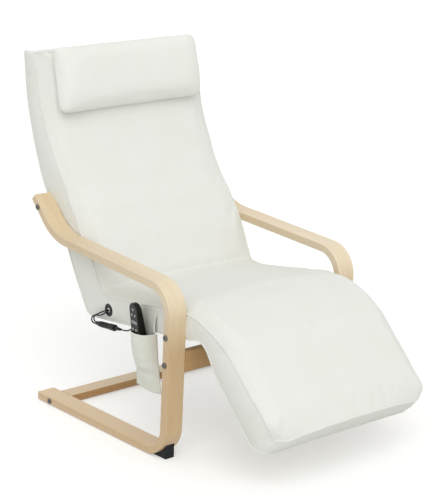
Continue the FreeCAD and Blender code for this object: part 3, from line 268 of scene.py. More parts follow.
# Lines with rounded corners
def corner_arcs(points, radii):
    """The arcs that round a line's inner points."""
    arcs = []
    for index, radius in enumerate(radii):
        corner = points[index + 1]
        before = (points[index] - corner).normalized()
        after = (points[index + 2] - corner).normalized()
        half = before.angle(after) / 2
        reach = radius / math.tan(half)
        middle = (before + after).normalized()
        turn = before.x * after.y - before.y * after.x
        arcs.append({
            "start": corner + before * reach, "end": corner + after * reach,
            "centre": corner + middle * (radius / math.sin(half)), "way": -middle,
            "radius": radius, "sweep": math.pi - 2 * half, "turn": 1.0 if turn > 0 else -1.0,
        })
    return arcs


# Bentwood
OUTER_LINE = [(614.953, 640.946), (521.519, 540.751), (-34.684, 496.0), (-0.140, 2.0), (633.5, 2.0)]
OUTER_RADII = (150.0, 87.0, 92.0)
BAND_THICKNESS = 23.0
HALF_BAND = BAND_THICKNESS / 2000.0
LAYERS = 9
RAIL_FACE = -0.2
STRETCHER_FACE = 0.002
RUN_SLACK = 0.0006
DEPTH_SLACK = 0.003

# places along a ramp, and colours
FACE_TONES = ((0.30, (0.665, 0.495, 0.290)), (0.47, (0.715, 0.555, 0.345)), (0.60, (0.745, 0.595, 0.385)),
              (0.75, (0.770, 0.625, 0.415)))
EDGE_TONES = ((0.32, (0.610, 0.460, 0.280)), (0.52, (0.655, 0.510, 0.325)), (0.70, (0.695, 0.555, 0.365)))
FLECK = (0.50, 0.335, 0.175)
GLUE = (0.36, 0.25, 0.13)
# painted shade along the outer edge of the cut faces
OUTER_EDGE_PAINTED_SHADE = (0.40, 0.24, 0.10)
# painted light and shade along the strip: painted palest at the armrest's front and painted darker below its
# bend, down the leg
BAND_REACH = 1.6
BAND_PAINTED_LIGHT_AND_SHADE = ((0.03, (0.98, 1.0, 1.03)), (0.28, (1.06, 1.14, 1.25)), (0.39, (1.09, 1.19, 1.36)),
               (0.54, (0.88, 0.81, 0.73)), (0.70, (0.88, 0.81, 0.73)), (0.79, (0.93, 0.865, 0.79)))


def band_runs():
    """The bent strip's outer surface as straight runs and bends, in metres from the frame's origin."""
    points = [Vector(((y + SHIFT_Y) / 1000.0, z / 1000.0)) for y, z in OUTER_LINE]
    arcs = corner_arcs(points, [radius / 1000.0 for radius in OUTER_RADII])
    runs = []
    start = points[0]
    travelled = 0.0
    for arc in arcs + [None]:
        straight = (arc["start"] if arc else points[-1]) - start
        length = straight.length
        runs.append({"start": start, "way": straight.normalized(), "length": length, "at": travelled})
        travelled += length
        if arc:
            runs.append({**arc, "at": travelled})
            travelled += arc["radius"] * arc["sweep"]
            start = arc["end"]
    return runs


def band_places(n):
    """Nodes giving the distances across and along the bent strip, and the depth below its outer surface."""
    x, y, z = n.separate(n.place)
    along = None
    depth = None
    for run in band_runs():
        bend = "centre" in run
        origin = run["centre"] if bend else run["start"]
        way = run["way"]
        dy = n.minus(y, origin.x)
        dz = n.minus(z, origin.y)
        forward = n.plus(n.times(dy, way.x), n.times(dz, way.y))
        across = n.minus(n.times(dz, way.x), n.times(dy, way.y))
        if bend:
            half = run["radius"] * run["sweep"] / 2
            angle = n.times(n.math("ARCTAN2", across, forward), -run["turn"])
            here = n.times(n.plus(angle, run["sweep"] / 2), run["radius"])
            distance = n.math("SQRT", n.plus(n.times(dy, dy), n.times(dz, dz)))
            below = n.absolute(n.minus(run["radius"], distance))
            inside = n.math("LESS_THAN", n.absolute(n.minus(here, half)), half + RUN_SLACK)
        else:
            here = forward
            below = n.absolute(across)
            inside = n.times(n.math("GREATER_THAN", here, -RUN_SLACK),
                             n.math("LESS_THAN", here, run["length"] + RUN_SLACK))
        in_strip = n.math("LESS_THAN", n.absolute(n.minus(below, HALF_BAND)), HALF_BAND + DEPTH_SLACK)
        inside = n.times(inside, in_strip)
        here = n.plus(here, run["at"])
        along = here if along is None else n.choose(inside, along, here)
        depth = below if depth is None else n.choose(inside, depth, below)
    return x, along, depth


def tinted(colour, tint):
    return tuple(part * share for part, share in zip(colour, tint))


def wood_finish(n, along, across, depth, edge_on, face_painted_shade=(1, 1, 1), edge_painted_shade=(1, 1, 1), shade=None):
    """Clear-lacquered pale laminate: long fibres, small flecks, glue lines where cut edges show, and a
    painted shade line along their outer edge.
    """

    def grain(lengthwise, crosswise, *settings):
        place = n.combine(n.times(along, lengthwise), n.times(across, crosswise), n.times(depth, crosswise))
        return n.noise(place, 1.0, *settings)

    def tones(main, other, share, stops, tint):
        value = n.plus(n.times(main, share), n.times(other, 1 - share))
        return n.ramp(value, [(position, tinted(colour, tint)) for position, colour in stops])

    fibre = grain(7.0, 240.0, 5.0, 0.62, 0.25)
    broad = grain(1.7, 20.0, 3.0, 0.5, 0.6)
    fleck = grain(110.0, 1500.0, 1.0, 0.5)
    face = tones(fibre, broad, 0.5, FACE_TONES, face_painted_shade)
    face = n.mix(n.span(fleck, 0.63, 0.74, 0.0, 0.15), face, tinted(FLECK, face_painted_shade))
    layer = n.times(depth, LAYERS * 1000.0 / BAND_THICKNESS)
    wobble = n.times(n.noise(n.combine(n.times(along, 14.0), 0.0, 0.0), 1.0, 2.0), 0.10)
    layer = n.plus(layer, wobble)
    line = n.absolute(n.minus(n.math("FRACT", layer), 0.5))
    glue = n.span(line, 0.42, 0.5, 0.0, 1.0, True)
    index = n.math("FLOOR", layer)
    each = n.noise(n.combine(n.times(index, 7.31), n.times(along, 1.6), 0.0), 1.0, 1.0)
    edge = tones(each, fibre, 0.7, EDGE_TONES, edge_painted_shade)
    edge = n.mix(n.times(glue, 0.20), edge, tinted(GLUE, edge_painted_shade))
    # painted shade: a dark line on the cut edge right beside the outer surface, as the shade of a rounded
    # edge
    rim = n.times(n.span(depth, 0.0006, 0.0024, 0.42, 0.0, True), n.span(broad, 0.3, 0.7, 0.5, 1.0))
    edge = n.mix(rim, edge, tinted(OUTER_EDGE_PAINTED_SHADE, edge_painted_shade))
    colour = n.mix(edge_on, face, edge)
    # painted light and shade laid over the wood's colour along the strip
    if shade is not None:
        colour = n.mix(1.0, colour, shade, "MULTIPLY")
    height = n.minus(fibre, n.times(n.times(glue, edge_on), 0.5))
    rough = n.span(fibre, 0.3, 0.7, 0.38, 0.48)
    return n.surface(colour, rough, n.bump(height, 0.08, 0.0004),
                     Coat_Weight=0.4, Coat_Roughness=0.25, Specular_IOR_Level=0.4)


def edge_mask(n, axis):
    """1 where the surface faces along an axis, 0 where it doesn't."""
    facing = n.separate(n.new("NewGeometry").outputs["True Normal"])[axis]
    return n.span(n.absolute(facing), 0.55, 0.85, 0.0, 1.0)


def bentwood(name):
    n = Finish(name)
    x, along, depth = band_places(n)
    # painted light and shade along the strip: paler on the armrest, darker down the leg
    shade = n.ramp(n.span(along, 0.0, BAND_REACH, 0.0, 1.0, True), BAND_PAINTED_LIGHT_AND_SHADE)
    return wood_finish(n, along, x, depth, edge_mask(n, 0), shade=shade)


def straight_wood(name, across_axis, depth_axis, surface_at, face_painted_shade, edge_painted_shade):
    """Straight laminated member with its grain along X, layered from a surface on one axis."""
    n = Finish(name)
    place = n.separate(n.place)
    depth = n.minus(place[depth_axis], surface_at)
    edge_on = edge_mask(n, across_axis)
    return wood_finish(n, place[0], place[across_axis], depth, edge_on, face_painted_shade, edge_painted_shade)


# Hard materials
def plastic(name, colour, roughness, grain=0.0, scale=1400.0, **more):
    n = Finish(name)
    fine = n.noise(n.place, scale, 2.0, 0.5)
    worn = n.noise(n.place, 60.0, 3.0, 0.6)
    base = n.shaded(colour, n.span(worn, 0.3, 0.7, 0.9, 1.08))
    rough = n.span(worn, 0.3, 0.7, roughness - 0.05, roughness + 0.06)
    return n.surface(base, rough, n.bump(fine, 0.10 + grain, 0.00012), **more)


def metal(name, colour, roughness):
    n = Finish(name)
    brushed = n.noise(n.scaled(n.place, (1.0, 1.0, 6.0)), 700.0, 2.0, 0.6)
    spots = n.noise(n.place, 120.0, 2.0, 0.5)
    base = n.shaded(colour, n.span(spots, 0.3, 0.7, 0.88, 1.04))
    rough = n.span(brushed, 0.3, 0.7, roughness - 0.06, roughness + 0.08)
    return n.surface(base, rough, n.bump(brushed, 0.08, 0.0001), Metallic=1.0)


def foam(name, colour):
    n = Finish(name)
    cells = n.new("TexVoronoi")
    n.link(n.place, cells.inputs["Vector"])
    cells.inputs["Scale"].default_value = 420.0
    base = n.shaded(colour, n.span(cells.outputs[0], 0.0, 0.8, 1.0, 0.82))
    return n.surface(base, 0.95, n.bump(cells.outputs[0], 0.4, 0.0008))


def webbing(name, colour):
    n = Finish(name)
    x, y, z = n.separate(n.place)
    rows = n.math("SINE", n.times(x, math.tau / 0.0030))
    cross = n.math("SINE", n.times(n.plus(y, z), math.tau / 0.0022))
    thread = n.times(rows, cross)
    base = n.shaded(colour, n.span(thread, -1.0, 1.0, 0.84, 1.0))
    return n.surface(base, 0.9, n.bump(thread, 0.3, 0.0005), Sheen_Weight=0.1)


def circuit_board(name):
    n = Finish(name)
    brick = n.new("TexBrick")
    n.link(n.scaled(n.place, (1.0, 260.0, 260.0)), brick.inputs["Vector"])
    n.put(brick.inputs["Color1"], (0.02, 0.13, 0.05))
    n.put(brick.inputs["Color2"], (0.03, 0.17, 0.07))
    n.put(brick.inputs["Mortar"], (0.28, 0.22, 0.08))
    brick.inputs["Scale"].default_value = 1.0
    brick.inputs["Mortar Size"].default_value = 0.03
    return n.surface(brick.outputs["Color"], 0.4)


materials = {
    "bent": bentwood("bent_laminate"),
    # painted shade: the rail is painted darker all over, the stretcher's front faces much darker and its top
    # a little darker
    "rail": straight_wood("bent_laminate_rail", 2, 1, RAIL_FACE, (0.66, 0.50, 0.30), (0.62, 0.48, 0.32)),
    "stretcher": straight_wood("bent_laminate_stretcher", 1, 2, STRETCHER_FACE,
                               (0.93, 0.90, 0.86), (0.72, 0.52, 0.30)),
    "cover": cloth("pad_cover_cloth", (0.812, 0.820, 0.778)),
    # painted light: the pillow's cloth is made paler than the pad's to brighten its leaning front
    "pillow": cloth("pillow_cloth", (0.845, 0.855, 0.812)),
    "pocket": cloth("pocket_cloth", (0.768, 0.785, 0.722)),
    "bolt": metal("bolt_steel", (0.17, 0.17, 0.165), 0.45),
    "foot": plastic("foot_block", (0.006, 0.009, 0.011), 0.6, 0.2, 900.0, Specular_IOR_Level=0.3),
    "glide": webbing("glide_felt", (0.33, 0.31, 0.28)),
    "tube": metal("inner_tube", (0.06, 0.06, 0.065), 0.45),
    "sling": webbing("sling_webbing", (0.16, 0.16, 0.17)),
    "foam": foam("pad_foam", (0.80, 0.77, 0.62)),
    "heater": webbing("heater_felt", (0.35, 0.35, 0.36)),
    "motor": plastic("motor_case", (0.035, 0.035, 0.038), 0.5),
    "rotor": metal("rotor_steel", (0.55, 0.54, 0.50), 0.28),
    "control": plastic("control_case", (0.03, 0.03, 0.033), 0.5),
    "board": circuit_board("circuit_board"),
    "button": plastic("button_grey", (0.40, 0.41, 0.38), 0.5),
    "window": plastic("display_window", (0.27, 0.28, 0.26), 0.3, Specular_IOR_Level=0.3),
    "case": plastic("handset_case", (0.008, 0.0085, 0.0065), 0.38, 0.05, Specular_IOR_Level=0.22),
    "case_back": plastic("handset_case_back", (0.006, 0.006, 0.005), 0.45, 0.05, Specular_IOR_Level=0.2),
    "connector": plastic("connector_black", (0.007, 0.007, 0.007), 0.36, Specular_IOR_Level=0.28),
    "lead": plastic("lead_jacket", (0.007, 0.007, 0.007), 0.42, 0.05, Specular_IOR_Level=0.25),
    "hook": webbing("grip_strip", (0.72, 0.73, 0.69)),
}

# each material, and how the names of the pieces that have it start
NAMES_START = {
    "bent": ("side_frame_",), "rail": ("front_cross_rail",), "stretcher": ("rear_floor_stretcher",),
    "foot": ("front_foot_",), "glide": ("floor_glides",),
    "bolt": ("arm_bolts", "arm_mount_bushes", "rail_b", "seat_bolts", "seat_mount_bushes", "stretcher_b"),
    "tube": ("foot_cross_tube", "frame_tube_", "head_cross_tube", "lumbar_cross_tube", "seat_front_cross"),
    "sling": ("support_sling",), "foam": ("foam_",), "cover": ("pad_cover",), "heater": ("heater_pad",),
    "motor": ("motor_housing_",), "rotor": ("motor_rotor_",), "control": ("control_box",),
    "connector": ("inline_", "side_grommet"), "lead": ("handset_lead", "handset_strain", "harness_lead"),
    "pocket": ("pocket_",), "case": ("handset_front_shell",), "case_back": ("handset_back_shell",),
    "board": ("handset_circuit_board",), "window": ("handset_display_window",), "button": ("button_",),
    "pillow": ("head_pillow",), "hook": ("pillow_",),
}


def finished(node_name, node_object):
    """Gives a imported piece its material."""
    finish = next(key for key, starts in NAMES_START.items() if node_name.startswith(starts))
    pieces = [node_object] if node_object.type == "MESH" else node_object.children_recursive
    for piece in pieces:
        if piece.type != "MESH":
            continue
        if not piece.material_slots:
            piece.data.materials.append(materials[finish])
        for slot in piece.material_slots:
            slot.material = materials[finish]


for each_name, each_object in frame["nodes"].items():
    finished(each_name, each_object)


# Mesh helpers
def new_piece(name, vertices, faces, material):
    """A smooth mesh with every face turned as given."""
    mesh = bpy.data.meshes.new(name)
    mesh.from_pydata([tuple(v) for v in vertices], [], faces)
    mesh.validate()
    mesh.update()
    mesh.materials.append(material)
    for polygon in mesh.polygons:
        polygon.use_smooth = True
    obj = bpy.data.objects.new(name, mesh)
    bpy.context.collection.objects.link(obj)
    return obj


def closed_piece(name, vertices, faces, material):
    """A smooth mesh with every face turned the same way, outwards where it is closed."""
    obj = new_piece(name, vertices, faces, material)
    form = bmesh.new()
    form.from_mesh(obj.data)
    bmesh.ops.recalc_face_normals(form, faces=form.faces)
    form.to_mesh(obj.data)
    form.free()
    return obj


def subdivided(obj):
    modifier = obj.modifiers.new("fine", "SUBSURF")
    modifier.levels = 1
    modifier.render_levels = 1


def tube_rings(places, aheads, radii, sides):
    """Points of the rings of a tube, each turned as little as possible from the last."""
    vertices = []
    side = aheads[0].orthogonal().normalized()
    for place, ahead, radius in zip(places, aheads, radii):
        side = (side - ahead * side.dot(ahead)).normalized()
        up = ahead.cross(side)
        for step in range(sides):
            angle = math.tau * step / sides
            vertices.append(place + side * (math.cos(angle) * radius) + up * (math.sin(angle) * radius))
    return vertices


def tube_faces(rings, sides):
    faces = []
    for ring in range(rings - 1):
        for step in range(sides):
            a = ring * sides + step
            b = ring * sides + (step + 1) % sides
            faces.append((a, b, b + sides, a + sides))
    return faces


def grid_faces(columns, rows):
    """Squares among the points of a grid, in rows of one more point than there are columns."""
    faces = []
    for row in range(rows):
        for column in range(columns):
            a = row * (columns + 1) + column
            faces.append((a, a + 1, a + columns + 2, a + columns + 1))
    return faces


def smooth(value, low, high):
    share = min(1.0, max(0.0, (value - low) / (high - low)))
    return share * share * (3 - 2 * share)


def bump_at(value, middle, reach):
    """1 in the middle, falling smoothly to 0 at the reach."""
    share = min(1.0, abs(value - middle) / reach)
    return (1 - share * share) ** 2


def eased(table, value):
    """A number from a table of places and numbers, eased between them."""
    if value <= table[0][0]:
        return table[0][1]
    for (p0, n0), (p1, n1) in zip(table, table[1:]):
        if value <= p1:
            return n0 + (n1 - n0) * smooth(value, p0, p1)
    return table[-1][1]


# Cords
LEAD_DIAMETER = 0.004
LEAD_SIDES = 14
ROUTES = {
    "harness_lead_outer": [
        (-0.27960, 0.15696, 0.34300), (-0.28850, 0.15716, 0.34280), (-0.29650, 0.16606, 0.33850),
        (-0.29950, 0.18156, 0.32950), (-0.30000, 0.19856, 0.32150), (-0.29950, 0.21206, 0.31450),
        (-0.29850, 0.21856, 0.30450), (-0.29750, 0.21456, 0.29550), (-0.29650, 0.20435, 0.29486),
        (-0.29650, 0.19438, 0.29561),
    ],
    "harness_lead_inner": [
        (-0.27960, 0.15216, 0.34300), (-0.28750, 0.15236, 0.34250), (-0.29200, 0.15856, 0.33500),
        (-0.29400, 0.17406, 0.32550), (-0.29400, 0.18956, 0.32150), (-0.29380, 0.20156, 0.32000),
        (-0.29400, 0.21056, 0.31450), (-0.29480, 0.21206, 0.30550), (-0.29650, 0.20391, 0.29970),
        (-0.29650, 0.19474, 0.30039),
    ],
    "handset_lead": [
        (-0.29650, 0.07689, 0.30685), (-0.29650, 0.05894, 0.30800), (-0.29500, 0.04156, 0.31150),
        (-0.29300, 0.02756, 0.32050), (-0.29200, 0.01406, 0.32250), (-0.29200, 0.01006, 0.31200),
        (-0.29150, 0.00956, 0.29000), (-0.29050, 0.01006, 0.25900), (-0.28900, 0.01106, 0.22400),
        (-0.28650, 0.00656, 0.19400), (-0.28550, -0.01344, 0.17800), (-0.28550, -0.03744, 0.17500),
        (-0.28630, -0.05944, 0.18500), (-0.28765, -0.06069, 0.19850),
    ],
    "handset_lead_tail": [
        (-0.28765, -0.06069, 0.19850), (-0.28900, -0.06194, 0.21200), (-0.29200, -0.05144, 0.22650),
        (-0.29600, -0.03644, 0.23300), (-0.29661, -0.02256, 0.24241), (-0.29756, -0.02256, 0.25337),
    ],
}


def lead_curve(name, points, bevel=True):
    """A lead on one smooth line with the route's points as its control points."""
    data = bpy.data.curves.new(name, "CURVE")
    data.dimensions = "3D"
    spline = data.splines.new("NURBS")
    spline.points.add(len(points) - 1)
    for point, place in zip(spline.points, points):
        point.co = (*place, 1.0)
    spline.order_u = 3
    spline.use_endpoint_u = True
    spline.resolution_u = 12
    if bevel:
        data.bevel_depth = LEAD_DIAMETER / 2
        data.bevel_resolution = 5
        data.use_fill_caps = True
    data.materials.append(materials["lead"])
    obj = bpy.data.objects.new(name, data)
    bpy.context.collection.objects.link(obj)
    return obj


def points_on(curve_object):
    """The points of a route's smooth line."""
    mesh = bpy.data.meshes.new_from_object(curve_object)
    places = [vertex.co.copy() for vertex in mesh.vertices]
    bpy.data.meshes.remove(mesh)
    return places


def lead_tube(name, places):
    """A lead as a round tube with flat ends, whose rings follow the given places."""
    count = len(places)
    aheads = [(places[min(k + 1, count - 1)] - places[max(k - 1, 0)]).normalized() for k in range(count)]
    vertices = tube_rings(places, aheads, [LEAD_DIAMETER / 2] * count, LEAD_SIDES)
    faces = tube_faces(count, LEAD_SIDES)
    faces.append(tuple(reversed(range(LEAD_SIDES))))
    faces.append(tuple(range((count - 1) * LEAD_SIDES, count * LEAD_SIDES)))
    return new_piece(name, vertices, faces, materials["lead"])


lead_outer = lead_curve("lead_outer", ROUTES["harness_lead_outer"])
lead_inner = lead_curve("lead_inner", ROUTES["harness_lead_inner"])
lead_handset = lead_curve("lead_handset", ROUTES["handset_lead"])
tail_line = lead_curve("tail_line", ROUTES["handset_lead_tail"], bevel=False)
tail_places = points_on(tail_line)
bpy.data.objects.remove(tail_line)
lead_tail = lead_tube("lead_tail", tail_places)
for piece, node in (
    (lead_outer, "harness_lead_outer"), (lead_inner, "harness_lead_inner"),
    (lead_handset, "handset_lead"), (lead_tail, "handset_lead_tail"),
):
    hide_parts(node)
for piece in (lead_outer, lead_inner, lead_handset):
    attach(piece, ROOT)
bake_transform(lead_tail)
[tuple(p) for p in tail_places]


# Filling cloth with air
FILL_FRAMES = 14
FILL_PRESSURE = 3.0
FILL_SLACK = 0.004
FILL_SETTINGS = {
    "quality": 5, "mass": 0.25, "tension_stiffness": 18.0, "compression_stiffness": 18.0,
    "shear_stiffness": 6.0, "bending_stiffness": 0.25, "air_damping": 2.0, "use_pressure": True,
    "uniform_pressure_force": FILL_PRESSURE, "shrink_min": -FILL_SLACK, "shrink_max": -FILL_SLACK,
    "vertex_group_mass": "held", "pin_stiffness": 8.0,
}


def filled_with_air(obj, held, cap):
    """Fills a closed cloth form between its held vertices, moving no vertex by more than the cap."""
    before = [vertex.co.copy() for vertex in obj.data.vertices]
    group = obj.vertex_groups.new(name="held")
    group.add(held, 1.0, "REPLACE")
    modifier = obj.modifiers.new("settle", "CLOTH")
    for name, value in FILL_SETTINGS.items():
        setattr(modifier.settings, name, value)
    modifier.settings.effector_weights.gravity = 0.0
    modifier.collision_settings.use_collision = False
    modifier.collision_settings.use_self_collision = False
    scene = bpy.context.scene
    for frame_number in range(1, FILL_FRAMES + 1):
        scene.frame_set(frame_number)
    evaluated = obj.evaluated_get(bpy.context.evaluated_depsgraph_get())
    after = [vertex.co.copy() for vertex in evaluated.to_mesh().vertices]
    evaluated.to_mesh_clear()
    obj.modifiers.remove(modifier)
    obj.vertex_groups.remove(group)
    scene.frame_set(1)
    for vertex, old, new in zip(obj.data.vertices, before, after):
        shift = new - old
        if shift.length > cap:
            shift *= cap / shift.length
        vertex.co = old + shift
    obj.data.update()


# Pad
# its underside and back, and its front, as lines in the drawing's Y and Z
UNDER = [(-318.035, 92.489), (-80.7, 347.0), (438.357, 302.045), (725.857, 800.009), (750.735, 1036.706)]
UNDER_RADII = (72.0, 36.0, 720.0)
FRONT = [(-405.067, 173.647), (-139.45, 458.485), (352.798, 415.852), (630.447, 896.754), (646.31, 1047.681)]
FRONT_RADII = (280.0, 12.0, 640.0)
CREASE_DROP = 29.0
CREASE_BISECTOR = math.radians((-4.95 + 60.0) / 2 + 90.0)
CREASE_STATIONS = 3
PAD_HALF = 279.4
SAMPLES = (26, 26, 28, 7, 44, 18, 14)
END_CROWDING = 1.5
SIDE_ROWS = 8
SHOULDER = 9
MIDDLE = 44
PAD_CAP = 0.0035

# places along the front from the foot, and millimetres
FULLNESS = (
    (820.0, 0.0), (905.0, 16.0), (1000.0, 22.0), (1090.0, 15.0), (1190.0, 3.0), (1260.0, 0.0),
    (1390.0, 5.0), (1470.0, 15.0), (1560.0, 16.0), (1597.0, 13.0),
)
LEFT_DROP = (
    (0.0, 24.0), (75.0, 19.0), (150.0, 27.0), (210.0, 32.0), (250.0, 37.0), (330.0, 38.0), (470.0, 29.0),
    (560.0, 20.0), (760.0, 21.0), (880.0, 18.0), (930.0, 22.0), (1000.0, 32.0), (1090.0, 43.0),
    (1160.0, 40.0), (1280.0, 34.0), (1340.0, 37.0), (1410.0, 48.0), (1480.0, 60.0), (1580.0, 56.0),
)
RIGHT_DROP = (
    (0.0, 17.0), (100.0, 23.0), (200.0, 27.0), (330.0, 29.0), (470.0, 26.0), (560.0, 19.0), (760.0, 16.0),
    (880.0, 8.0), (1000.0, 8.0), (1090.0, 7.0), (1160.0, 13.0), (1280.0, 22.0), (1340.0, 24.0),
    (1420.0, 21.0), (1500.0, 18.0), (1580.0, 16.0),
)
SHOULDER_WIDTH = 40.0
SHOULDER_POWER = 2.4
CROWN = 9.0
CROWN_POWER = 2.4

# how the ends roll over, and how the edge under and behind is drawn in outside the inner tube
FOOT_REACH = 64.0
FOOT_DROP_LEFT = 31.0
FOOT_DROP_RIGHT = 26.0
HEAD_REACH = 30.0
HEAD_DROP = 20.0
CURL_REACH = 42.0
EDGE_POWER = 6.0
KNEE_RISE = 13.0
KNEE_AT = -92.0
BACK_RISE = 5.5
BACK_AT = 860.0
HEAD_RISE = 8.0

# corners seen from above the pad: rounded at the foot, drawn out into small ears behind the head
CORNER_REACH = 32.0
CORNER_MORE_LEFT = 30.0
CORNER_MORE_RIGHT = 4.0
EAR = 7.0
EAR_REACH = 60.0
EAR_WIDTH = 46.0


def line_and_bends(points, radii, counts):
    """Points along straight runs joined by arcs, so many for each in turn, with more at the first end."""
    places = []
    start = points[0]
    for index, arc in enumerate(corner_arcs(points, radii)):
        count = counts[2 * index]
        crowding = 1.0 if index else END_CROWDING
        places += [start.lerp(arc["start"], (k / count) ** crowding) for k in range(count)]
        count = counts[2 * index + 1]
        first = arc["start"] - arc["centre"]
        sweep = -arc["turn"] * first.angle(arc["end"] - arc["centre"])
        for k in range(count):
            c = math.cos(sweep * k / count)
            s = math.sin(sweep * k / count)
            places.append(arc["centre"] + Vector((first.x * c - first.y * s, first.x * s + first.y * c)))
        start = arc["end"]
    count = counts[-1]
    return places + [start.lerp(points[-1], k / count) for k in range(count + 1)]


def dropped_crease(points, drop):
    """The front line with its inner corner pulled into the pad, as where it folds."""
    points[2] = points[2] - Vector((math.cos(CREASE_BISECTOR), math.sin(CREASE_BISECTOR))) * drop
    return points


def lengths(places):
    run = [0.0]
    for a, b in zip(places, places[1:]):
        run.append(run[-1] + (b - a).length)
    return run


REAR_LINE = line_and_bends([Vector(p) for p in UNDER], UNDER_RADII, SAMPLES)
FRONT_LINE = line_and_bends(dropped_crease([Vector(p) for p in FRONT], CREASE_DROP), FRONT_RADII, SAMPLES)
FRONT_RUN = lengths(FRONT_LINE)
FRONT_TOTAL = FRONT_RUN[-1]
STATIONS = len(FRONT_LINE)
CREASE_STATION = sum(SAMPLES[:3]) + SAMPLES[3] // 2
CREASE_RUN = FRONT_RUN[CREASE_STATION]


def half_width_at(station, side):
    """The pad is held between the legs and arms, and stands a little wider clear of them."""
    z = FRONT_LINE[station].y
    run = FRONT_RUN[station]
    wide = 6.5 * smooth(z, 690.0, 780.0)
    wide -= 2.0 * smooth(z, 930.0, 1040.0)
    wide -= 4.0 * bump_at(z, 620.0, 130.0) * (1.0 if side < 0 else 0.3)
    wide += 2.0 * bump_at(run, 130.0, 130.0)
    if side > 0:
        wide -= 3.5 * (1 - smooth(run, 60.0, 200.0))
    else:
        wide -= 4.0 * smooth(z, 780.0, 860.0)
    return PAD_HALF + wide


def across_table():
    """Columns over the pad: its side, the share of its half width, and the share of its shoulder."""
    table = [(-1, -1.0, 1.0 - k / SHOULDER) for k in range(SHOULDER)]
    for index in range(MIDDLE + 1):
        share = -1 + 2 * index / MIDDLE
        table.append((-1 if share < 0 else 1, share, 0.0))
    return table + [(1, 1.0, (k + 1) / SHOULDER) for k in range(SHOULDER)]


ACROSS = across_table()
COLUMNS = len(ACROSS)


def corner_pull(p, q):
    """Turns a square corner, with both shares from 0 to 1, into a round one."""
    return p * math.sqrt(1 - q * q / 2), q * math.sqrt(1 - p * p / 2)


def roll(share, power=SHOULDER_POWER):
    return max(0.0, share) ** power


def front_drop(run, side, shoulder, off_middle):
    """How far the front rolls down at the shoulder and at both ends."""
    drop = eased(LEFT_DROP if side < 0 else RIGHT_DROP, run) * roll(shoulder)
    if off_middle < 0:
        at_foot = 14.0 + FOOT_DROP_LEFT * -off_middle ** 3
    else:
        at_foot = 15.0 + FOOT_DROP_RIGHT * off_middle ** 1.8
    at_end = at_foot * roll(1 - run / FOOT_REACH, 1.9)
    at_end += HEAD_DROP * roll(1 - (FRONT_TOTAL - run) / HEAD_REACH, 2.2)
    return (drop ** 3 + at_end ** 3) ** (1 / 3)


def rear_rise(rear, run, shoulder, off_middle, depth):
    """How far the edge under and behind is drawn in, at the sides only outside the tube inside it."""
    rise = BACK_RISE * bump_at(rear.y, BACK_AT, 170.0) + HEAD_RISE * smooth(rear.y, 900.0, 1030.0)
    rise *= roll(shoulder, EDGE_POWER) * (1 - depth)
    curl = 24.0 - 5.0 * off_middle - 8.0 * off_middle ** 2
    rise += curl * roll(1 - run / CURL_REACH, 2.0) * (1 - depth)
    return rise + KNEE_RISE * bump_at(rear.x, KNEE_AT, 60.0) * roll(shoulder, EDGE_POWER) * (1 - depth)


def pad_point(station, column, depth):
    """A place in the pad. Depth is 0 at its underside and 1 at its front."""
    side, share, shoulder = ACROSS[column]
    half = half_width_at(station, side)
    inner = half - SHOULDER_WIDTH
    x = side * (inner + SHOULDER_WIDTH * shoulder) if shoulder else share * inner
    run = FRONT_RUN[station]
    off_middle = max(-1.0, min(1.0, x / half))
    front = FRONT_LINE[station]
    rear = REAR_LINE[station]
    thickness = (front - rear).length
    direction = (front - rear) / thickness
    crown = CROWN * (1 - abs(share) ** CROWN_POWER) if not shoulder else 0.0
    drop = front_drop(run, side, shoulder, off_middle)
    level = (thickness + crown + eased(FULLNESS, run) - drop) * depth
    level += 1.5 * roll(shoulder, 2.0) * (1 - depth)
    # two steps and not one sum: the fill that follows answers to the last digit of where it starts
    place = rear + direction * level
    place += direction * rear_rise(rear, run, shoulder, off_middle, depth)
    # the plan's corners at the foot are rounded, more so at the front than under it
    reach = CORNER_REACH + (CORNER_MORE_LEFT if side < 0 else CORNER_MORE_RIGHT) * depth
    p = min(1.0, (abs(x) - (half - reach)) / reach)
    q = min(1.0, (reach - run) / reach)
    if p > 0 and q > 0:
        p2, q2 = corner_pull(p, q)
        x = math.copysign(half - reach + reach * p2, x)
        place += (FRONT_LINE[1] - FRONT_LINE[0]).normalized() * ((q - q2) * reach)
    from_head = FRONT_TOTAL - run
    if from_head < EAR_REACH:
        ear = EAR * bump_at(abs(x), half, EAR_WIDTH) * (1 - from_head / EAR_REACH) ** 2 * (1 - depth) ** 1.5
        place += (REAR_LINE[-1] - REAR_LINE[-2]).normalized() * ear
    return Vector((x, place.x, place.y))


def pad_skin():
    """A closed skin: front, underside, two sides and two ends, sharing their seam rows."""
    index = {}
    vertices = []
    faces = []

    def vertex(key):
        if key not in index:
            station, column, row = key
            index[key] = len(vertices)
            vertices.append(pad_point(station, column, row / SIDE_ROWS))
        return index[key]

    def face(*keys):
        faces.append(tuple(vertex(key) for key in keys))

    end = COLUMNS - 1
    last = STATIONS - 1
    top = SIDE_ROWS
    for s in range(last):
        for c in range(end):
            face((s, c, top), (s + 1, c, top), (s + 1, c + 1, top), (s, c + 1, top))
            face((s, c, 0), (s, c + 1, 0), (s + 1, c + 1, 0), (s + 1, c, 0))
        for r in range(SIDE_ROWS):
            face((s, 0, r), (s + 1, 0, r), (s + 1, 0, r + 1), (s, 0, r + 1))
            face((s, end, r), (s, end, r + 1), (s + 1, end, r + 1), (s + 1, end, r))
    for r in range(SIDE_ROWS):
        for c in range(end):
            face((0, c, r), (0, c, r + 1), (0, c + 1, r + 1), (0, c + 1, r))
            face((last, c, r), (last, c + 1, r), (last, c + 1, r + 1), (last, c, r + 1))
    return vertices, faces, list(index)


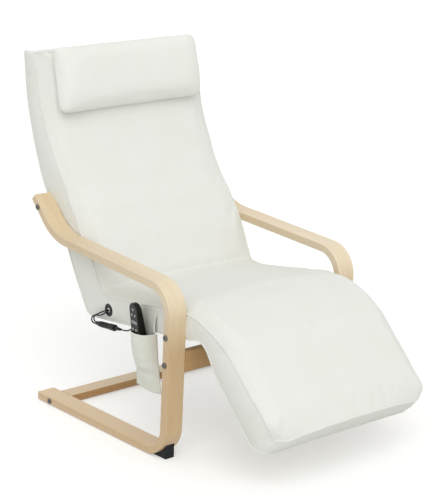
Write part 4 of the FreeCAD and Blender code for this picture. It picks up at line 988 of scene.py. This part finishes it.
def seam_distances(column, run):
    """How far a place on the front is from its side seam and from the nearer end seam, in millimetres."""
    side, share, shoulder = ACROSS[column]
    inner = PAD_HALF - SHOULDER_WIDTH
    x = PAD_HALF - SHOULDER_WIDTH * (1 - shoulder) if shoulder else abs(share) * inner
    return PAD_HALF - x, min(run, FRONT_TOTAL - run)


def uneven(*place):
    """A fixed unevenness from about -1 to 1 at a place."""
    return noise.noise(Vector(place))


def gauss(value, reach):
    return math.exp(-(value / reach) ** 2)


# the short pleats beside the side seams: how far in, their reach along the pad, and their middle
SHORT_PLEATS = ((13.0, 75.0, 1490.0), (22.0, 60.0, 1515.0))


def front_shift(x, run, column):
    """The front's own unevenness: slack swells, puckers along the seams, folds at the bend, and pleats."""
    side = ACROSS[column][0]
    to_side, to_end = seam_distances(column, run)
    near = min(to_side, to_end)
    shift = 1.1 * uneven(x / 95.0, run / 120.0, 3.1) + 0.6 * uneven(x / 38.0, run / 46.0, 8.7)
    along = run if to_side < to_end else x
    pucker = uneven(along / 11.0, near / 60.0, 5.5 + side)
    shift += 1.5 * pucker * math.exp(-near / 13.0) * smooth(near, 0.0, 4.0)
    # short folds on both sides of the crease, fading away from it
    reach = abs(run - CREASE_RUN)
    fold = uneven(x / 26.0, reach / 90.0, 1.7)
    shift += 2.2 * fold * math.exp(-reach / 42.0) * smooth(reach, 2.0, 16.0)
    # long soft pleats beside the side seams of the upper back, and short ones by the pillow
    pleat = gauss(near - 33.0 - 3.0 * math.sin(run / 60.0), 5.5)
    shift -= 1.6 * pleat * smooth(run, 1290.0, 1430.0) * (1.0 if side < 0 else 0.6)
    for inset, pleat_reach, middle in SHORT_PLEATS:
        pleat = gauss(near - inset - 1.5 * math.sin(run / 24.0), 3.4)
        shift -= 2.3 * pleat * bump_at(run, middle, pleat_reach)
    # the foot's seam runs a little unevenly
    return shift + 2.6 * uneven(x / 31.0, 2.2, 9.1) * gauss(near, 16.0) * (1 - smooth(run, 10.0, 45.0))


def side_shift(x, z, run, column, row):
    """The sides' and ends' own fullness and waver, least where the frame holds them."""
    rise = row / SIDE_ROWS
    middle = 4 * rise * (1 - rise)
    free = max(1.0 - smooth(run, 190.0, 280.0), smooth(z, 665.0, 730.0))
    along = run if column in (0, COLUMNS - 1) else x
    waver = uneven(along / 24.0, rise * 1.3, 11.0)
    return middle * (0.3 + 2.4 * free) + 1.5 * waver * middle * (0.15 + 0.85 * free)


def creased(obj, keys):
    """Lays the cloth's own unevenness on the filled pad."""
    normals = [vertex.normal.copy() for vertex in obj.data.vertices]
    for vertex, normal, (station, column, row) in zip(obj.data.vertices, normals, keys):
        run = FRONT_RUN[station]
        x, y, z = (number * 1000.0 for number in vertex.co)
        if row == SIDE_ROWS:
            shift = front_shift(x, run, column)
        elif row:
            shift = side_shift(x, z, run, column, row)
        else:
            near = min(seam_distances(column, run))
            shift = 1.2 * uneven(x / 80.0, run / 80.0, 21.0) * smooth(near, 0.0, 25.0)
        vertex.co += normal * (shift / 1000.0)
    obj.data.update()


def shaped_pad():
    vertices, faces, keys = pad_skin()
    obj = closed_piece("pad_cover_cloth", [world(*v) for v in vertices], faces, materials["cover"])
    held = []
    for index, (station, column, row) in enumerate(keys):
        at_edge = column in (0, COLUMNS - 1) or station in (0, STATIONS - 1)
        at_crease = abs(station - CREASE_STATION) <= CREASE_STATIONS
        if row == 0 or (row == SIDE_ROWS and (at_edge or at_crease)):
            held.append(index)
    filled_with_air(obj, held, PAD_CAP)
    creased(obj, keys)
    return obj, {key: obj.data.vertices[index].co.copy() for index, key in enumerate(keys)}


pad, pad_places = shaped_pad()

# Sewn edges of the pad
WELT_RADIUS = 0.0021
WELT_SIDES = 8
WELT_UNEVENNESS = 0.16


def seam_welt(name, row):
    """A thin sewn edge that follows one of the pad's two rings of seam."""
    last = STATIONS - 1
    end = COLUMNS - 1
    ring = [pad_places[(s, 0, row)] for s in range(last + 1)]
    ring += [pad_places[(last, c, row)] for c in range(1, end + 1)]
    ring += [pad_places[(s, end, row)] for s in range(last - 1, -1, -1)]
    ring += [pad_places[(0, c, row)] for c in range(end - 1, 0, -1)]
    count = len(ring)
    ring = [(ring[k - 1] + ring[k] * 2 + ring[(k + 1) % count]) / 4 for k in range(count)]
    aheads = [(ring[(k + 1) % count] - ring[k - 1]).normalized() for k in range(count)]
    radii = [WELT_RADIUS * (1.0 + WELT_UNEVENNESS * noise.noise(place * 95.0)) for place in ring]
    vertices = tube_rings(ring, aheads, radii, WELT_SIDES)
    faces = tube_faces(count, WELT_SIDES)
    # the last ring joins the first, whose points may stand turned against it
    final = (count - 1) * WELT_SIDES
    turn = min(range(WELT_SIDES), key=lambda k: (vertices[final] - vertices[k]).length)
    forwards = (vertices[final + 1] - vertices[(turn + 1) % WELT_SIDES]).length
    backwards = (vertices[final + 1] - vertices[(turn - 1) % WELT_SIDES]).length
    way = 1 if forwards <= backwards else -1
    for step in range(WELT_SIDES):
        a, b = final + step, final + (step + 1) % WELT_SIDES
        c, d = (turn + way * (step + 1)) % WELT_SIDES, (turn + way * step) % WELT_SIDES
        faces.append((a, b, c, d))
    return closed_piece(name, vertices, faces, materials["cover"])


for welt_name, welt_row in (("pad_front_welt", SIDE_ROWS), ("pad_rear_welt", 0)):
    welt = seam_welt(welt_name, welt_row)
    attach(welt, ROOT)
subdivided(pad)
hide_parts("pad_cover", "foam_back", "foam_seat")
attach(pad, ROOT)


# Pillow
PILLOW_CENTRE = Vector((621.154, 970.072))
PILLOW_TURN = math.radians(77.5)
PILLOW_ALONG = Vector((math.cos(PILLOW_TURN), math.sin(PILLOW_TURN)))
PILLOW_OUTWARD = Vector((-math.sin(PILLOW_TURN), math.cos(PILLOW_TURN)))
PILLOW_HALF_WIDTH = 258.0
PILLOW_HALF_HEIGHT = 93.0
PILLOW_HALF_THICK = 29.0
PILLOW_ROUND = 34.0
PILLOW_ROUND_UPPER_LEFT = 8.0
PILLOW_TAPER = 62.0
PILLOW_LEAN = 10.0
PILLOW_TILT = 0.017
PILLOW_ACROSS = 56
PILLOW_AROUND = 48
PILLOW_CAP = 0.003
PILLOW_UNEVENNESS = 0.0011


def pillow_point(a, angle):
    """A place on the pillow: a from -1 to 1 across it, and an angle round its section."""
    c, s = math.cos(angle), math.sin(angle)
    left = max(0.0, -a)
    right = max(0.0, a)
    from_end = (1 - abs(a)) * PILLOW_HALF_WIDTH
    upper_left = a < 0 and c > 0
    near_end = min(1.0, from_end / (PILLOW_ROUND_UPPER_LEFT if upper_left else PILLOW_ROUND))
    full = 0.9 if upper_left else 0.8
    tall = PILLOW_HALF_HEIGHT * (full + (1 - full) * math.sqrt(max(0.0, 1 - (1 - near_end) ** 2)))
    taper = max(0.0, 1 - (1 - min(1.0, from_end / PILLOW_TAPER)) ** 2.2) ** 0.5
    deep = PILLOW_HALF_THICK * (0.24 + 0.76 * taper)
    up = tall * math.copysign(abs(c) ** 0.62, c)
    out = deep * math.copysign(abs(s) ** 0.72, s)
    # its lower edge and its ends lean in against the pad, and its back stays flat
    low = max(0.0, -up / PILLOW_HALF_HEIGHT)
    lean = PILLOW_LEAN * low ** 2 * deep / PILLOW_HALF_THICK + 0.5 * (PILLOW_HALF_THICK - deep)
    out = max(out - lean, -0.92 * PILLOW_HALF_THICK)
    x = a * PILLOW_HALF_WIDTH - (8.0 - 8.0 * left ** 3 + 5.0 * left ** 6 * low - 7.0 * right ** 3)
    up = up * 1.02 - 2.0 + PILLOW_TILT * a * PILLOW_HALF_WIDTH
    place = PILLOW_CENTRE + PILLOW_OUTWARD * PILLOW_HALF_THICK + PILLOW_ALONG * up + PILLOW_OUTWARD * out
    return Vector((x, place.x, place.y))


def shaped_pillow():
    across = PILLOW_ACROSS
    around = PILLOW_AROUND
    vertices = []
    for i in range(across + 1):
        a = 0.55 * -math.cos(math.pi * i / across) + 0.45 * (-1 + 2 * i / across)
        vertices += [pillow_point(a, math.tau * k / around) for k in range(around)]
    faces = []
    for i in range(across):
        for k in range(around):
            p = i * around + k
            q = i * around + (k + 1) % around
            faces.append((p, p + around, q + around, q))
    for end in (0, across):
        ring = [end * around + k for k in range(around)]
        middle = len(vertices)
        vertices.append(sum((vertices[v] for v in ring), Vector()) / around)
        faces += [(ring[k], ring[(k + 1) % around], middle) for k in range(around)]
    obj = closed_piece("pillow_cloth_form", [world(*v) for v in vertices], faces, materials["pillow"])
    # its back, its two long seams and its ends are held while its front fills
    held = []
    for index in range(len(vertices)):
        i, k = divmod(index, around)
        if i == 0 or i >= across or k == 0 or k >= around // 2:
            held.append(index)
    filled_with_air(obj, held, PILLOW_CAP)
    normals = [vertex.normal.copy() for vertex in obj.data.vertices]
    for vertex, normal in zip(obj.data.vertices, normals):
        vertex.co += normal * (PILLOW_UNEVENNESS * uneven(vertex.co.x * 14.0, vertex.co.z * 22.0, 6.3))
    obj.data.update()
    return obj


pillow = shaped_pillow()
subdivided(pillow)
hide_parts("head_pillow")
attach(pillow, "pillow")


# Pocket
POCKET_X = -281.3
POCKET_FRONT = 97.0
POCKET_REAR = 201.0
POCKET_BOTTOM = 158.0
POCKET_TOP = 394.0
MOUTH = 321.0
HEM_AT = 309.5
CLOTH_OFF_PAD = 0.75
CLOTH_THICKNESS = 0.0014
FLAP_GRID = (30, 64)
POUCH_GRID = (38, 56)

# heights, and how far the front edge is drawn back, how far it stands off the pad, and the pouch's bulge
DRAWN = ((158.0, -9.0), (212.0, -2.0), (270.0, 4.0), (321.0, 6.0), (360.0, 3.0), (394.0, 0.0))
OFF = ((158.0, 0.0), (270.0, 0.0), (318.0, 4.0), (345.0, 9.0), (372.0, 7.0), (392.0, 0.0))
BULGE = ((158.0, 9.0), (205.0, 19.0), (238.0, 33.0), (262.0, 39.0), (300.0, 43.0), (321.0, 43.5))


def flap_point(share, level):
    """A place on the pocket's back strip, by its shares from the rear edge and from the bottom."""
    z = POCKET_BOTTOM + (POCKET_TOP - POCKET_BOTTOM) * level
    y = POCKET_REAR + (POCKET_FRONT + eased(DRAWN, z) - POCKET_REAR) * share
    lift = eased(OFF, z) * smooth(share, 0.72, 1.0)
    fold = 1.1 * math.sin(share * 9.0 + z / 21.0) * smooth(share, 0.45, 0.8) * smooth(z, 318.0, 335.0)
    fold *= 1 - smooth(z, 372.0, 392.0)
    return world(POCKET_X + CLOTH_OFF_PAD - lift - abs(fold) * 0.8, y, z)


def pouch_point(share, level):
    """A place on the pocket's bulging front, by its shares from the front edge and from the bottom."""
    bottom = POCKET_BOTTOM + 0.5
    z = bottom + (MOUTH - bottom) * level
    bulge = eased(BULGE, z)
    y0 = POCKET_FRONT + eased(DRAWN, z)
    y1 = POCKET_REAR - 2.0
    chord = y1 - y0
    radius = (chord * chord / 4 + bulge * bulge) / (2 * bulge)
    half = math.asin(min(1.0, chord / 2 / radius))
    if bulge > chord / 2:
        half = math.pi - half
    angle = -half + 2 * half * share
    y = (y0 + y1) / 2 + radius * math.sin(angle)
    x = POCKET_X - bulge + radius * (1 - math.cos(angle)) + CLOTH_OFF_PAD
    # soft hanging folds and a turned hem at the mouth
    inside = math.sin(math.pi * share)
    fold = 1.3 * uneven(share * 6.0, z / 75.0, 4.2) + 0.9 * math.sin(share * 11.0 + z / 40.0) * (1 - level)
    x -= fold * inside
    x += 0.9 * gauss(z - HEM_AT, 1.6) * inside ** 0.5
    # the rim dips at its rear and rises over its middle and at its front; the bottom slopes to the front
    rim = 7.0 * smooth(share, 0.72, 1.0) - 5.5 * inside - 6.0 * (1 - smooth(share, 0.0, 0.35))
    slope = 5.0 * smooth(share, 0.3, 1.0) - 2.0
    return world(x, y, z - level ** 6 * rim + (1 - level) ** 4 * slope)


def pocket_sheet(name, point, grid, from_rear):
    columns, rows = grid
    vertices = []
    for row in range(rows + 1):
        for column in range(columns + 1):
            share = 1 - column / columns if from_rear else column / columns
            vertices.append(point(share, row / rows))
    obj = closed_piece(name, vertices, grid_faces(columns, rows), materials["pocket"])
    thick = obj.modifiers.new("thick", "SOLIDIFY")
    thick.thickness = CLOTH_THICKNESS
    thick.offset = 0.0
    return obj


flap = pocket_sheet("pocket_back_cloth", flap_point, FLAP_GRID, True)
pouch = pocket_sheet("pocket_front_cloth", pouch_point, POUCH_GRID, False)
for piece, node in ((flap, "pocket_flap"), (pouch, "pocket_front")):
    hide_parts(node)
    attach(piece, ROOT)


# Floor and light
FLOOR_REACH = 14.0
FLOOR_BELOW = 0.0005
FLOOR_COLOUR = (0.80, 0.80, 0.79)
FLOOR_GLOW = 0.30
WHITE = (1.0, 1.0, 1.0)
SKY_STRENGTH = 0.73
BACKDROP_STRENGTH = 1.0
KEY_STRENGTH = 1.15
KEY_ANGLE = 0.9
KEY_COLOUR = (1.0, 0.99, 0.97)
KEY_DIRECTION = Vector((0.40, 0.60, -0.69))


def stage():
    mesh = bpy.data.meshes.new("floor")
    corners = [(x * FLOOR_REACH, y * FLOOR_REACH, 0) for x, y in ((-1, -1), (1, -1), (1, 1), (-1, 1))]
    mesh.from_pydata(corners, [], [(0, 1, 2, 3)])
    floor = bpy.data.objects.new("floor", mesh)
    bpy.context.collection.objects.link(floor)
    floor.location.z = -FLOOR_BELOW
    n = Finish("floor_white")
    n.tree.nodes.remove(n.shader)
    diffuse = n.filled("BsdfDiffuse", FLOOR_COLOUR)
    glow = n.filled("Emission", WHITE, n.times(n.seen_directly(), FLOOR_GLOW))
    both = n.filled("AddShader", diffuse.outputs[0], glow.outputs[0])
    n.link(both.outputs[0], n.output.inputs["Surface"])
    mesh.materials.append(n.material)


def studio():
    """An even white sky, brighter where the camera sees it, and one soft sun."""
    studio_world = bpy.data.worlds.new("studio")
    bpy.context.scene.world = studio_world
    studio_world.use_nodes = True
    n = Graph(studio_world.node_tree)
    sky = n.filled("Background", WHITE, SKY_STRENGTH)
    backdrop = n.filled("Background", WHITE, BACKDROP_STRENGTH)
    either = n.filled("MixShader", n.seen_directly(), sky.outputs[0], backdrop.outputs[0])
    n.link(either.outputs[0], n.new("OutputWorld").inputs[0])
    key_data = bpy.data.lights.new("key", "SUN")
    key_data.energy = KEY_STRENGTH
    key_data.angle = KEY_ANGLE
    key_data.color = KEY_COLOUR
    key = bpy.data.objects.new("key", key_data)
    bpy.context.collection.objects.link(key)
    key.rotation_euler = KEY_DIRECTION.to_track_quat("-Z", "Y").to_euler()


stage()
studio()
bpy.context.scene.view_settings.view_transform = "Standard"
